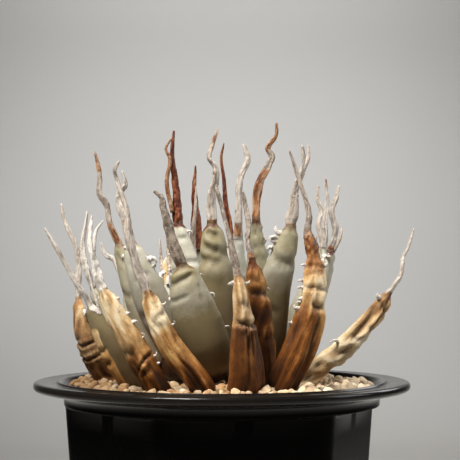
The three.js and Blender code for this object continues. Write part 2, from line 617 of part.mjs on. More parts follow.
// The gravel's surface: one six-sided cell for each stone, with a raised point in its middle and low
// points shared with its neighbours, on a block that reaches down past the filling's floor.
function gravelBlock() {
  const random = randomFrom(GRAVEL_SEED);
  const count = Math.ceil((2 * RIM_RADIUS) / STONE_SPACING);
  const rowStep = STONE_SPACING * Math.sin(radians(60));
  const level = POT_HEIGHT - SOIL_BELOW_RIM;
  const points = [];
  const triangles = [];
  const addPoint = (x, y, rise) => {
    const away = Math.hypot(x - ROSETTE.x, y - ROSETTE.y);
    const heap = THREE.MathUtils.mapLinear(away, NEST_RADIUS, RIM_RADIUS, HEAP, 0);
    const height = level + rise * (1 + 0.5 * random()) + heap;
    points.push([x + STONE_SHIFT * random(), y + STONE_SHIFT * random(), height]);
    return points.length - 1;
  };
  // Stones stand at the lattice points, valleys in the middle of the lattice triangles
  const stones = [];
  const valleys = [];
  for (let row = 0; row <= count; row += 1) {
    const y = (row - count / 2) * rowStep;
    const shift = row % 2 ? STONE_SPACING / 2 : 0;
    const xAt = (column) => (column - count / 2) * STONE_SPACING + shift;
    const columns = Array.from({ length: count + 1 }, (_, column) => column);
    stones.push(columns.map((column) => addPoint(xAt(column), y, STONE_RISE)));
    valleys.push(columns.map((column) => [
      addPoint(xAt(column) + STONE_SPACING / 2, y + rowStep / 3, -VALLEY_DROP),
      addPoint(xAt(column), y + (rowStep * 2) / 3, -VALLEY_DROP),
    ]));
  }
  // Each lattice triangle is split in three round its valley
  const split = (a, b, c, valley) => triangles.push(a, b, valley, b, c, valley, c, a, valley);
  for (let row = 0; row < count; row += 1) {
    const odd = row % 2;
    for (let column = 0; column < count; column += 1) {
      const [leftBelow, rightBelow] = [stones[row][column], stones[row][column + 1]];
      const above = stones[row + 1][column + odd];
      split(leftBelow, rightBelow, above, valleys[row][column][0]);
      if (column + odd > 0) {
        const before = stones[row + 1][column + odd - 1];
        split(leftBelow, above, before, valleys[row][column][1]);
      }
    }
  }
  return blockUnder(points, triangles, 0);
}

// A block with the given top, straight sides and a flat bottom
function blockUnder(points, triangles, bottom) {
  const edges = new Map();
  for (let i = 0; i < triangles.length; i += 3) {
    for (let k = 0; k < 3; k += 1) edges.set(`${triangles[i + k]} ${triangles[i + ((k + 1) % 3)]}`, true);
  }
  const used = new Set(triangles);
  const lower = new Map([...used].map((index, order) => [index, points.length + order]));
  const low = [...used].map((index) => [points[index][0], points[index][1], bottom]);
  const faces = [...triangles];
  for (let i = 0; i < triangles.length; i += 3) {
    const [a, b, c] = triangles.slice(i, i + 3);
    faces.push(lower.get(a), lower.get(c), lower.get(b));
  }
  for (const edge of edges.keys()) {
    const [a, b] = edge.split(' ').map(Number);
    if (edges.has(`${b} ${a}`)) continue;
    faces.push(a, lower.get(b), b, a, lower.get(a), lower.get(b));
  }
  const geometry = new THREE.BufferGeometry();
  geometry.setAttribute('position', new THREE.Float32BufferAttribute([...points, ...low].flat(), 3));
  geometry.setIndex(faces);
  return solidOf(geometry);
}

function makeSoil(leaves) {
  const nest = new THREE.CylinderGeometry(NEST_RADIUS, NEST_FLOOR_RADIUS, 2 * NEST_DEPTH, 24);
  nest.rotateX(Math.PI / 2);
  nest.translate(ROSETTE.x, ROSETTE.y, POT_HEIGHT);
  let soil = insideOfPot(GAP).intersect(gravelBlock()).subtract(solidOf(nest));
  for (const room of [makeStem(GAP), ...leaves.map(({ leaf }) => leafSolid(leaf, GAP))]) {
    if (boxesMeet(soil, room)) soil = soil.subtract(room);
  }
  return largestBody(soil.simplify(FINEST));
}

const FINISH = {
  pot: { color: 0x0c0c0d, roughness: 0.3, metalness: 0 },
  gravel: { color: 0xc9b597, roughness: 0.95, metalness: 0 },
  stem: { color: 0x7a5a38, roughness: 0.9, metalness: 0 },
  green: { color: 0x9fa38d, roughness: 0.7, metalness: 0 },
  dried: { color: 0xb48a55, roughness: 0.75, metalness: 0 },
  flared: { color: 0xa87c4a, roughness: 0.75, metalness: 0 },
  notched: { color: 0xb08048, roughness: 0.75, metalness: 0 },
  swept: { color: 0xac8048, roughness: 0.75, metalness: 0 },
  bud: { color: 0x6e2f1c, roughness: 0.6, metalness: 0 },
};

function named(name, solid, finish) {
  const mesh = new THREE.Mesh(geometryOf(solid), new THREE.MeshStandardMaterial(FINISH[finish]));
  mesh.name = name;
  return mesh;
}

const leaves = makeLeaves();
const soil = makeSoil(leaves);
addTeeth(leaves, soil);

const plant = new THREE.Group();
plant.add(named('stem', makeStem(0), 'stem'));
for (const { leaf, solid } of leaves) plant.add(named(leaf.name, solid, leaf.kind));

const pottedAgave = new THREE.Group();
pottedAgave.add(named('pot', makePot(), 'pot'), named('soil', soil, 'gravel'), plant);

export default pottedAgave;
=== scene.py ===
"""A potted Utah agave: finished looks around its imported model. Metres, +Z up, the viewer's side is -Y.

Sizes are given in millimetres, as in the part's source, and turned into metres where a mesh is made.
"""
import math

import bmesh
import bpy
import numpy as np
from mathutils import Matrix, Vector


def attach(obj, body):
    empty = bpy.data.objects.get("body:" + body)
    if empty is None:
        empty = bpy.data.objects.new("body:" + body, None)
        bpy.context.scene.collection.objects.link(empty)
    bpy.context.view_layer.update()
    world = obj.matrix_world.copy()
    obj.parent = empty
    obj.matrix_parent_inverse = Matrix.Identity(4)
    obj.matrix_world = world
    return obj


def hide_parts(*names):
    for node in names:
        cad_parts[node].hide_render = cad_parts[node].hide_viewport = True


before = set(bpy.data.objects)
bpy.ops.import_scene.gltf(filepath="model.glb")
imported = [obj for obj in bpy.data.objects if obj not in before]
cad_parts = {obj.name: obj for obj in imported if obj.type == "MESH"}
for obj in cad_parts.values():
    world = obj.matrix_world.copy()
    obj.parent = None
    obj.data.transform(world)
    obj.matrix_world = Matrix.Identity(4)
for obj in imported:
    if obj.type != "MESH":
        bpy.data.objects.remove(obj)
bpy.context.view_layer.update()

MM = 0.001

# Camera: the photograph's side and focal length in pixels, the camera's height above the rim, its distance
# and its upward pitch
IMAGE_SIZE = 460
FOCAL_PIXELS = 1247.0
SENSOR_WIDTH = 36.0
CAMERA_X = 3.2
CAMERA_DISTANCE = 500.0
CAMERA_ABOVE_RIM = 39.0
CAMERA_PITCH = 2.36

# The pot, as in the part's source
POT_HEIGHT = 120.0
RIM_RADIUS = 75.0
MOUTH_RADIUS = 63.0
COLLAR_RADIUS = 62.0
COLLAR_DEPTH = 9.5
BODY_TOP_RADIUS = 63.0
BODY_FOOT_RADIUS = 54.5
FOOT_RING_INNER = 46.0
FOOT_RECESS = 3.0
WALL = 3.2
FLOOR_TOP = 7.0
CORNER_ROUNDING = 6.0
FIRST_CORNER = 9.5
DRAIN_RADIUS = 4.5
DRAIN_CIRCLE = 27.0
DRAIN_COUNT = 3
DRAIN_SIDES = 32
POT_DIRECTIONS = 240
SHARP_ANGLE = 50

# The filling and the plant's place in it
ROSETTE = (-7.0, -2.0)
NEST_RADIUS = 37.0
SOIL_BELOW_RIM = 2.8
HEAP = 1.8
SOIL_GAP = 0.4

# Gravel: a shaken lattice of stones, with each radius's share of them
STONE_SPACING = 4.6
LATTICE_ROW = 0.866
SHAKE = 0.9
STONE_LIFT = 0.7
STONE_CLEARANCE = 3.6
LAYER_DROPS = (0.0, 2.4)
LEFT_OUT_BELOW = 0.35
STONE_RADII = (1.8, 2.2, 2.6, 3.0)
STONE_SHARES = (0.2, 0.35, 0.3, 0.15)
STONE_TINTS = (0.1, 0.25, 0.35, 0.5, 0.62, 0.75, 0.9)
SOIL_TINT = -0.5

# The setting, in metres: a floor that sweeps up behind, and lamps, each with its place, the point that it
# shines at, its size, power and tint, and its spread in degrees
FLOOR_FRONT = -2.0
FLOOR_HALF_WIDTH = 2.5
SWEEP_START = 0.7
SWEEP_RADIUS = 0.5
BACKDROP_HEIGHT = 2.4
PLANT = (0.0, 0.0, 0.16)
LAMPS = [
    ("key", (-0.32, -0.42, 0.93), PLANT, (0.32, 0.32), 2.5, (1.0, 0.97, 0.92), 60),
    ("fill", (0.85, -0.1, 0.55), PLANT, (0.4, 0.6), 0.6, (0.97, 0.98, 1.0), 60),
    ("back", (0.55, 0.5, 0.6), PLANT, (0.4, 0.4), 0.45, (1.0, 1.0, 1.0), 70),
    ("backdrop", (0.0, 0.6, 1.5), (0.0, 1.2, 0.3), (0.6, 0.3), 2.3, (1.0, 1.0, 1.0), 60),
]

# Where a leaf's foot and the knee above it lie: radius from the stem's axis and height above the rim
RINGS = {
    "outer": (12, -7, 29, -5.5),
    "middle": (11, 2, 21, 5),
    "inner": (5, 10, 8, 16),
    "bud": (1, 11, 2, 18),
}

# How a leaf looks where its row says nothing. A value is one number, or (share, value) stops: along the
# blade from its foot at 0 to its end at 1, or for brown along the spine from its root at 0 to its tip at 1.
# Side 1 is the left margin of a blade whose back faces the viewer, and side -1 the right one.
PLAIN_LOOKS = {
    # The direction in degrees that the back faces, if not straight out from the stem, the line of a forked
    # spine's second point, and how many points of the mesh go round
    "facing": None, "fork": None, "round": None,
    # Folds from (side, share) to (side, share), with a depth and, if not 1 and 0, a width and a bow
    "folds": (),
    # Dried skin: how crumpled, how dark and how grey it is; darker towards the foot, partly as dried colour
    # and partly as painted shade
    "rough": 1, "shade": [(0.45, 1.35), (0.6, 0.9), (1, 0.5)], "drab": 0,
    # Green skin: how pale its bloom is, where the dirt and painted shade from the foot end, and the side
    # beyond which it dried
    "tone": 0.4, "dirt_to": 0.8, "dry_from": None,
    # How burnt the blade's end is
    "tip": 0,
    # Where the horn begins, how that slopes from side to side and how far it runs down the margins
    "horn_from": 1, "horn_slope": 0, "decurrent": 0.012,
    # The spine: how much thicker its root is, and how grey, white and brown it and its second point are
    "swell": 0, "grey": 0.2, "pale": 0, "brown": [(0, 0.2), (1, 0.1)], "fork_brown": 0.1,
    # Margin teeth on side 1 and side -1, their size and the share of the lowest one
    "teeth": (4, 4), "teeth_size": 1, "teeth_from": 0.58,
}


def leaf(name, ring, kind, width, thick, spine_width, blade, spine, **looks):
    """One leaf's row. Points are x, y and height above the rim, from the blade's low point to the tip."""
    return {**PLAIN_LOOKS, **looks, "name": name, "ring": ring, "kind": kind, "width": width,
            "thick": thick, "spine_width": spine_width, "blade": blade, "spine": spine}


def on_ray(angle, radius, height):
    """A point at an angle and radius from the stem's axis."""
    return ROSETTE[0] + radius * math.cos(angle), ROSETTE[1] + radius * math.sin(angle), height


def spread(row, count, start, end):
    """Rows spread evenly between two angles, from one whose points are radius and height above the rim."""
    rows = []
    for i in range(count):
        angle = math.radians(start + (end - start) * i / (count - 1))
        lines = {key: [on_ray(angle, *point) for point in row[key]] for key in ("blade", "spine")}
        rows.append({**row, **lines, "name": f"{row['name']}_{i + 1}"})
    return rows


# The leaves, as in the part's source
LEAVES = [
    leaf("leaf_front_plump", "middle", "green", 18.4, 10, 4.4,
         [(-4, -29, 10), (-10, -35, 27), (-14.6, -38, 45)],
         [(-17.6, -38, 52.7), (-20.2, -38, 61.5), (-21.6, -38, 66.5), (-22.4, -38, 70), (-25, -38, 72.4)],
         folds=[(0.95, 0.912, -0.55, 0.942, 0.9, 1.25), (1, 0.838, 0.15, 0.85, 0.5, 0.8),
                (-0.7, 0.9, -0.42, 0.78, 0.6, 0.7)],
         tone=[(0.6, -1), (0.74, 0), (0.84, 0.4), (0.92, 0.15), (1, -0.15)], dirt_to=1, grey=1,
         brown=[(0, 0.5), (0.06, 0.12), (0.5, 0.2), (0.78, 0.1)], teeth=(0, 3), teeth_size=0.6),
    leaf("leaf_front_dried", "outer", "flared", 14.5, 7.5, 3.2,
         [(8.7, -42, 0), (8, -47.5, 22), (6, -51, 41)],
         [(4, -50, 50), (1.7, -48, 60), (-0.7, -47, 70), (-1.9, -47, 74)],
         folds=[(0.8, 0.79, -1.1, 0.765, 1.2, 0.9), (0.7, 0.87, -0.8, 0.86, 0.6, 1.5),
                (-0.15, 0.77, -0.2, 0.66, 1.2, 0.45), (0.1, 0.76, 0.05, 0.68, 1.1, 0.4),
                (-0.45, 0.76, -0.5, 0.68, 1, 0.4)], rough=0.4,
         shade=[(0.45, 1.15), (0.55, 1), (0.66, 0.84), (0.755, 0.85), (0.775, 0.45), (0.9, 0.32),
                (1, 0.45)], drab=[(0.7, 0.1), (0.8, 0.5), (1, 0.4)], grey=0.8,
         brown=[(0, 0.3), (0.12, 0.12), (1, 0.1)], teeth=(1, 1)),
    leaf("leaf_front_right_dried", "outer", "notched", 12.4, 8, 3.4,
         [(21, -36.4, 0.5), (32.2, -41, 25), (33.8, -43, 48.5)],
         [(31.8, -43, 57), (32.2, -43, 63.5), (31, -42, 70), (28.3, -40, 78.5), (25, -39, 87.5)],
         facing=-75,
         folds=[(0.95, 0.872, -1.1, 0.868, 0.8, 0.6), (0.35, 0.812, -0.75, 0.816, 1.3, 0.9, 0.012),
                (1.1, 0.955, -1.1, 0.95, 0.6, 1), (0.6, 0.925, -0.9, 0.93, 0.5, 0.9),
                (-0.3, 0.79, -0.4, 0.5, 1.3, 1.3), (0.85, 0.74, 0.75, 0.5, 0.8, 0.8)], rough=0.6,
         shade=[(0.45, 1.2), (0.55, 1), (0.65, 0.76), (0.76, 0.55), (0.8, 0.38), (0.83, 0.18), (0.9, 0.18),
                (0.95, 0.4), (1, 0.6)], drab=[(0.76, 0), (0.82, 0.3), (1, 0.2)], tip=0.7, horn_from=1.16,
         swell=0.45, grey=0.7, brown=[(0, 0.5), (0.2, 0.4), (0.26, 0.1), (1, 0.05)], teeth=(6, 1),
         teeth_from=0.7),
    leaf("leaf_front_left_dried", "outer", "dried", 9.4, 6.5, 3.8,
         [(-6.5, -43.5, 0), (-19, -48.5, 17), (-26.6, -52, 35)],
         [(-30.6, -52, 45), (-33.2, -51, 55), (-34.3, -49, 65), (-37.6, -47, 74.5), (-38.8, -47, 79.5),
          (-37.2, -47, 82.8)],
         folds=[(0.5, 0.86, -0.3, 0.84, 0.35, 1.8), (-0.1, 0.68, -0.35, 0.5, 1.1, 0.9)], rough=0.5,
         shade=[(0.45, 0.95), (0.55, 0.78), (0.63, 0.62), (0.72, 0.52), (0.8, 0.48), (0.86, 0.12),
                (0.94, 0.1), (1, 0.25)], drab=[(0.7, 0), (0.85, 0.2)], grey=0.45, pale=0.2,
         brown=[(0, 0.45), (0.03, 0.15), (0.3, 0.1), (0.45, 0.25), (0.6, 0.1), (1, 0.05)], teeth=(0, 2),
         teeth_size=0.6),
    leaf("leaf_left_front_dried", "outer", "dried", 10.6, 6.5, 3.6,
         [(-22.5, -44, -0.5), (-31.5, -48.5, 16), (-42.4, -52, 36)],
         [(-45.2, -52, 44.5), (-47.3, -51, 54), (-47.1, -49, 62.6)],
         fork=[(-45.9, -51.5, 50), (-45.1, -51, 57), (-42.6, -51, 60.8)],
         folds=[(0.2, 0.645, -1.1, 0.69, 1, 0.55, -0.006), (0.8, 0.74, -0.2, 0.72, 0.6, 1.8)], rough=0.6,
         shade=[(0.45, 1), (0.55, 0.78), (0.63, 0.66), (0.68, 0.56), (0.76, 0.45), (0.82, 0.32),
                (0.88, 0.12), (1, 0.1)], drab=[(0.6, 0), (0.8, 0.25), (1, 0.2)], grey=0.1, pale=0.6,
         brown=[(0, 0.25), (0.04, 0.1), (0.2, 0.05)], teeth=(0, 6), teeth_size=0.8),
    leaf("leaf_front_brown", "outer", "dried", 10.5, 6, 3.2,
         [(14.6, -31.6, 1), (14.6, -37.5, 22), (11.3, -42, 46)],
         [(9.8, -41, 53.5), (9.8, -40, 59), (8.8, -38, 67.5), (8, -38, 72.4)],
         folds=[(1.1, 0.885, -1.1, 0.865, 1, 1.3)], rough=0.5,
         shade=[(0.45, 1.25), (0.6, 0.86), (0.76, 0.68), (0.8, 1.1), (0.84, 0.6), (0.92, 0.48), (1, 0.85)],
         tip=0.5, horn_from=1.03, grey=0.7, brown=[(0, 0.8), (0.08, 0.6), (0.12, 0.15), (1, 0.1)],
         teeth=(0, 1)),
    leaf("leaf_front_centre", "middle", "green", 14.5, 9, 4,
         [(-1, -20, 14), (-2, -23.5, 38), (-3.7, -24, 61.5)],
         [(-3.7, -24, 71), (-2.6, -24, 78), (-2.6, -24, 82.5), (-4.5, -24, 86.4), (-3.3, -24, 91),
          (-1.4, -24, 97)],
         folds=[(0.8, 0.955, -0.2, 0.93, 1.6, 1.6), (0.9, 0.9, 0, 0.875, 1.9, 1.8, 0.006),
                (1.1, 0.85, -0.1, 0.83, 1.7, 1.7), (0.1, 0.88, -1, 0.86, 0.8, 2, 0.008)],
         tone=[(0.6, -0.8), (0.8, 0.1), (0.9, 0.1), (1, -0.1)], dirt_to=1, grey=0.25, pale=0.2,
         brown=[(0, 0.75), (0.03, 0.1), (0.3, 0.1), (0.42, 0.35), (0.55, 0.1), (0.72, 0.15), (0.8, 0.42),
                (1, 0.48)], teeth=(0, 1), teeth_size=0.6),
    leaf("leaf_right_plump", "middle", "green", 13.8, 9, 4.4,
         [(16.5, -17, 12), (20, -21.5, 36), (26.5, -24, 60.3)],
         [(27.7, -24, 68.5), (28, -24, 73), (30.7, -24, 80), (31.6, -24, 84), (31, -24, 91)], facing=-70,
         fork=[(31.2, -24, 81.5), (33.3, -24, 87), (33.1, -24, 91)],
         folds=[(0.9, 0.868, -0.9, 0.872, 0.9, 1.3, 0.018), (0.3, 0.85, 0.5, 0.8, 0.7, 1.3)],
         tone=[(0.62, -1.1), (0.74, 0), (0.82, 0.42), (0.92, 0.08)], dirt_to=1, grey=0.4, pale=0.25,
         brown=[(0, 0.44), (0.02, 0.36), (0.045, 0.1)], teeth=(4, 0), teeth_size=1.5, teeth_from=0.87),
    leaf("leaf_far_left_dried", "outer", "dried", 14, 8, 2.8,
         [(-44.5, 0, 1), (-52, -5, 14), (-56.3, -8, 32.5)],
         [(-56.4, -8, 46.5), (-58, -8, 54), (-62.3, -8, 63), (-63.6, -8, 69.6)], facing=-158,
         folds=[(1.2, 0.785, -1.2, 0.77, 1, 0.6), (1.2, 0.69, -1.2, 0.7, 1, 0.6)], rough=0.5,
         shade=[(0.5, 0.75), (0.68, 0.6), (0.72, 0.5), (0.78, 0.52), (0.82, 0.48), (1, 0.5)],
         drab=[(0.6, 0.3), (0.76, 0.6), (0.82, 0.45)], grey=0.15, pale=0.3, teeth=(1, 1)),
    leaf("leaf_left_grey", "outer", "green", 12, 7, 2.8,
         [(-34, -27, 2), (-42, -30.5, 16), (-49.2, -33, 30.5)],
         [(-54, -35, 38), (-61, -37, 50.5), (-65.4, -38, 58.7)],
         fork=[(-45.4, -33.5, 27), (-46.2, -34.5, 30.5), (-48, -34.5, 36), (-49.6, -34, 42.5)],
         shade=[(0.45, 0.7), (0.6, 0.42), (0.8, 0.33)], tone=-0.1, dirt_to=1.35, dry_from=-0.4,
         horn_from=0.985, horn_slope=0.03, decurrent=0.04, grey=0.15, pale=0.5, brown=0.1, teeth=(2, 0)),
    leaf("leaf_far_right_dried", "outer", "swept", 9.8, 8.5, 2.8,
         [(31, -15, 3), (46, -17, 13.5), (64.5, -20, 35)],
         [(69, -20, 42), (69.9, -20, 47), (71.7, -20, 51.5), (74.1, -20, 59.3)], facing=-50,
         folds=[(0.9, 0.95, -0.6, 0.92, 0.7, 0.9), (0.5, 0.87, -0.9, 0.85, 0.7, 0.8),
                (0.9, 0.81, -0.2, 0.83, 0.7, 0.8), (-0.2, 0.74, -1, 0.77, 0.6, 0.8),
                (0.8, 0.69, 0, 0.71, 0.6, 0.8)], rough=1.9,
         shade=[(0.45, 0.3), (0.55, 0.1), (0.75, 0), (0.88, 0.3), (0.95, 0.5), (1, 0.7)],
         drab=[(0.5, 0.15), (0.8, 0.3), (1, 0.45)], pale=0.4,
         brown=[(0, 0.3), (0.05, 0.1), (0.8, 0.15), (1, 0.35)], teeth=(2, 0)),
    leaf("leaf_left_tall", "middle", "green", 14, 8, 3.2,
         [(-25.5, -13.5, 9.5), (-32, -12, 30), (-40.8, -10.5, 54.5)],
         [(-43.9, -10, 61.5), (-45.3, -10, 69), (-47.9, -10, 74), (-48, -10, 79.5), (-48.8, -10, 85),
          (-50.2, -10, 90.2)], folds=[(-0.2, 0.95, -0.8, 0.9, 0.5)], tone=[(0.84, 0.32), (0.95, 0.1)],
         dirt_to=1, grey=0.55, pale=0.1,
         brown=[(0, 0.5), (0.16, 0.45), (0.26, 0.1), (0.68, 0.1), (0.78, 0.5), (0.93, 0.45), (1, 0.1)],
         teeth=(4, 1), teeth_size=0.8),
    leaf("leaf_left_tall_inner", "middle", "green", 16, 8, 4,
         [(-16.5, -19.5, 10.5), (-27.2, -23.5, 33.5), (-34.4, -25, 53.5)],
         [(-36.4, -25, 62.5), (-39.1, -25, 68.5), (-38.9, -25, 72.5), (-36.8, -25, 75.5),
          (-37.9, -25, 81.1)], tone=0.55, dirt_to=1, pale=0.4, brown=[(0, 0.3), (0.2, 0.35), (0.4, 0.1)],
         teeth=(1, 4), teeth_size=1.3),
    leaf("leaf_centre_pale", "inner", "green", 13, 7, 4,
         [(-11, -9, 27), (-14, -10, 44), (-17.2, -10, 62)],
         [(-17.7, -10, 72), (-18.7, -10, 80), (-19.7, -10, 88), (-18.9, -10, 98.3)],
         fork=[(-19.3, -11.5, 66), (-21.6, -12, 77.5), (-20.4, -12, 87), (-22, -11.5, 91), (-20, -11, 95)],
         tone=[(0.75, 0.9), (0.9, 0.55)], grey=0.3, brown=[(0, 1.1), (0.4, 1), (1, 0.85)], fork_brown=0.5,
         teeth=(4, 1), teeth_size=0.9),
    leaf("leaf_back_right_tall", "middle", "green", 10.5, 7, 3.6,
         [(12, 6, 18), (14, 7, 41), (13.8, 6, 64.3)],
         [(15, 6, 78), (18.7, 6, 86), (20.2, 6, 90), (18.5, 6, 93), (21.8, 6, 98.5), (22.3, 6, 103.4)],
         facing=60,
         folds=[(0.9, 0.94, -0.9, 0.93, 1.7, 1.3), (0.9, 0.88, -0.9, 0.87, 1.7, 1.3),
                (0.9, 0.82, -0.9, 0.83, 1.5, 1.3)], tone=0.15, grey=0.6,
         brown=[(0, 0.75), (0.04, 0.55), (0.2, 0.5), (0.3, 0.4), (0.36, 0.12), (0.55, 0.2), (0.62, 0.5)],
         teeth=(1, 2), teeth_size=0.8),
    leaf("leaf_right_green", "middle", "green", 12, 7.5, 3.6,
         [(27, -6.7, 12), (35.9, -9.7, 32), (42.6, -12, 52)],
         [(44.3, -12, 59.5), (42.9, -12, 66), (44.7, -12, 71), (45.9, -12, 76.5)], tone=0.5, grey=0.25,
         pale=0.4, brown=[(0, 0.9), (0.04, 0.1)], teeth=(3, 3), teeth_from=0.95),
    leaf("leaf_right_small", "middle", "green", 9, 6, 2.4,
         [(25, -19, 9), (30, -23, 26), (34.5, -26, 42)],
         [(35, -27, 49), (36, -27, 56)], tone=0.05, dirt_to=1.2, grey=0.3),
    leaf("leaf_left_behind", "middle", "green", 11, 6.5, 3.2,
         [(-34, -11, 8), (-42, -15, 21), (-49.5, -19, 37)],
         [(-53, -20, 46.5), (-53.9, -19, 53), (-52, -17, 66)], grey=0.15, pale=0.4,
         brown=[(0, 0.2), (1, 0.05)]),
    leaf("leaf_left_low", "middle", "green", 11, 6.5, 3.2,
         [(-27, 6, 8), (-34, 8.5, 22), (-38.9, 10, 35)],
         [(-42.6, 10, 44), (-45.3, 10, 48.7), (-47.8, 10, 50), (-49.6, 10, 54.6)], grey=0.1, pale=0.5,
         brown=[(0, 0.15), (1, 0.05)]),
    leaf("leaf_back_left_tan", "middle", "dried", 9, 5.5, 2.2,
         [(-14, 17, 10), (-19, 22, 30), (-22.6, 26, 50)],
         [(-22.3, 27, 58), (-22.6, 27, 64)], shade=[(0.5, 0.35), (1, 0.1)], drab=0.3, grey=0.1),
    leaf("leaf_right_back_low", "middle", "green", 10, 6, 2.4,
         [(27, 3, 10), (36.5, 3.5, 28), (43.4, 4, 48)],
         [(47.6, 4, 56), (48.4, 4, 61)], tone=0.45, grey=0.3, pale=0.2, brown=[(0, 0.1), (1, 0.3)],
         teeth=(4, 2), teeth_size=0.9, teeth_from=0.9),
    leaf("leaf_right_back_middle", "middle", "green", 10, 6, 3,
         [(27, 12, 10), (35, 14, 32), (41.5, 15, 52.5)],
         [(39.9, 15, 62.5), (40.8, 15, 68), (39.6, 15, 72.5), (40, 15, 78.3)], tone=0.45, pale=0.3,
         brown=[(0, 0.15), (0.6, 0.1), (1, 0.4)], teeth=(4, 4), teeth_size=1.1, teeth_from=0.93),
    leaf("leaf_right_back_tall", "middle", "green", 10, 6, 3,
         [(23, 23, 10), (34, 27, 32), (43, 29, 52)],
         [(43.6, 29, 64), (44.6, 29, 74.5), (43.8, 29, 82.3)], tone=0.45, pale=0.5,
         brown=[(0, 0.15), (0.7, 0.1), (1, 0.6)], teeth=(3, 3), teeth_from=0.93),
    leaf("leaf_inner_cream", "inner", "green", 8.5, 5, 4.6,
         [(5, -7, 22), (6.5, -9, 40), (6.3, -10, 56)],
         [(6.7, -10, 67), (7.1, -10, 79), (9.9, -10, 87), (8.7, -10, 93)], tone=0.8, pale=0.35,
         brown=[(0, 0.35), (0.2, 0.28), (0.4, 0.12), (1, 0.2)], teeth=(2, 3)),
    leaf("leaf_inner_back", "inner", "green", 8, 5, 2.4,
         [(-1, 8, 22), (2, 11, 40), (3.6, 13, 58)],
         [(1.5, 13, 70.5), (0.7, 13, 81), (-0.5, 13, 90), (0.7, 13, 96)], tone=0.6, grey=0.3,
         brown=[(0, 0.95), (1, 0.8)]),
    leaf("bud_spear", "bud", "bud", 9, 8, 6,
         [(-8.5, 2.5, 27), (-9.8, 4, 40), (-10.2, 4, 52)],
         [(-10.5, 4, 62), (-11, 4, 76), (-10.9, 4, 85.8)], facing=90, tone=0.7,
         brown=[(0, 0.95), (0.5, 1), (1, 0.75)]),
    leaf("bud_outer_leaf", "inner", "green", 6, 4, 2.2,
         [(-8, -3.5, 24), (-10, -3, 37), (-11.2, -3, 50)],
         [(-11.3, -3, 60), (-10.4, -3, 70), (-10.3, -3, 76.7)], tone=0.8, grey=0.05,
         brown=[(0, 0.1), (1, 0.05)]),
]

# The leaves that others hide
LEAVES += spread(
    leaf("leaf_back_outer", "outer", "dried", 13.5, 7, 3,
         [(41, 0), (48, 10), (54, 20)],
         [(58, 25.5), (62, 33)], shade=[(0.45, 1), (0.6, 0.7), (0.8, 0.45), (1, 0.4)], grey=0.35,
         brown=[(0, 0.3), (0.3, 0.12), (1, 0.15)], round=36),
    count=7, start=38, end=152)
LEAVES += spread(
    leaf("leaf_back_middle", "middle", "green", 12, 6.5, 3,
         [(26, 9), (32, 26), (36, 43)],
         [(39, 49), (41, 57)], grey=0.3, brown=[(0, 0.4), (0.2, 0.1)]),
    count=4, start=58, end=150)
LEAVES += spread(
    leaf("leaf_heart", "inner", "green", 9, 4.5, 2.6,
         [(11, 22), (13.5, 32), (15, 42)],
         [(15.5, 47), (15.5, 53)], tone=0.75, brown=[(0, 0.25), (0.3, 0.1), (1, 0.3)], teeth=(1, 1)),
    count=4, start=-42, end=160)

# How wide and thick a blade is along its length, as shares of its widest and thickest
OUTLINES = {
    "green": [(0, 0.55), (0.25, 0.75), (0.5, 0.92), (0.6, 0.98), (0.7, 1), (0.8, 0.9), (0.87, 0.74),
              (0.93, 0.61), (0.97, 0.51), (1, 0.36)],
    "dried": [(0, 0.62), (0.3, 0.88), (0.5, 0.97), (0.65, 1), (0.78, 0.92), (0.88, 0.8), (0.95, 0.68),
              (1, 0.5)],
    "flared": [(0, 0.6), (0.3, 0.9), (0.52, 0.97), (0.63, 0.86), (0.7, 0.74), (0.76, 0.6), (0.81, 0.47),
               (0.9, 0.41), (1, 0.29)],
    "notched": [(0, 0.5), (0.3, 0.62), (0.5, 0.85), (0.6, 0.97), (0.7, 1), (0.745, 0.97), (0.775, 0.86),
                (0.8, 0.7), (0.84, 0.68), (0.88, 0.68), (0.94, 0.62), (1, 0.42)],
    "swept": [(0, 0.5), (0.3, 0.62), (0.5, 0.8), (0.6, 0.96), (0.7, 1), (0.82, 0.96), (0.88, 0.8),
              (0.95, 0.64), (1, 0.46)],
}
OUTLINES["bud"] = OUTLINES["green"]
DRY_KINDS = ("dried", "flared", "notched", "swept")
SLOTS = {"green": "green_leaf", "bud": "bud", **{kind: "dried_leaf" for kind in DRY_KINDS}}
THICKNESS_ALONG = [(0, 0.5), (0.3, 0.85), (0.6, 1), (0.85, 0.78), (1, 0.4)]
SPINE_TAPER = [(0, 1), (0.3, 0.8), (0.6, 0.62), (0.85, 0.48), (1, 0.26)]
BUD_TAPER = [(0, 1), (1, 0.12)]
FORK_WIDTHS = (0.45, 0.4, 0.28, 0.16)

# How finely a leaf is laid out: control points and rings up the blade, rings up the spine, points around
BLADE_CONTROLS = 4
BLADE_RINGS = 104
SPINE_RINGS = 64
LEAF_ROUND = 36
DRIED_ROUND = 60

# Folds: the fewest on a blade, and the width of one that runs up it, in sides, or over it, in shares
LEAST_FOLDS = 3
FOLD_WIDTH_UP = 0.09
FOLD_WIDTH_OVER = 0.011

# Skin and horn: how dry a green margin is, how deep a tooth is rooted, where the highest tooth may stand, how
# crooked a spine is, and how far apart the materials' pattern is taken for two leaves
DRY_MARGIN = 0.05
TOOTH_ROOT = 0.9
TOOTH_LAST = 0.965
CROOKED = 0.3
PATTERN_STEP = 40.0

# What the leaf materials read on a fork or a tooth, besides how brown, grey and pale it is
PLAIN_HORN = dict(dry=0, shade=0, drab=0, tone=0, dirt=0, tip=0, band=0, crease_shade=0, ridge=0.5, horn=1)


def along(stops, place):
    """The value at a place of (place, value) stops, or of one number that holds everywhere."""
    places, values = zip(*(stops if isinstance(stops, list) else [(0, stops)]))
    return np.interp(place, places, values)


def smooth(low, high, value):
    """0 below low, 1 above high, and an even rise between."""
    share = np.clip((value - low) / (high - low), 0.0, 1.0)
    return share * share * (3.0 - 2.0 * share)


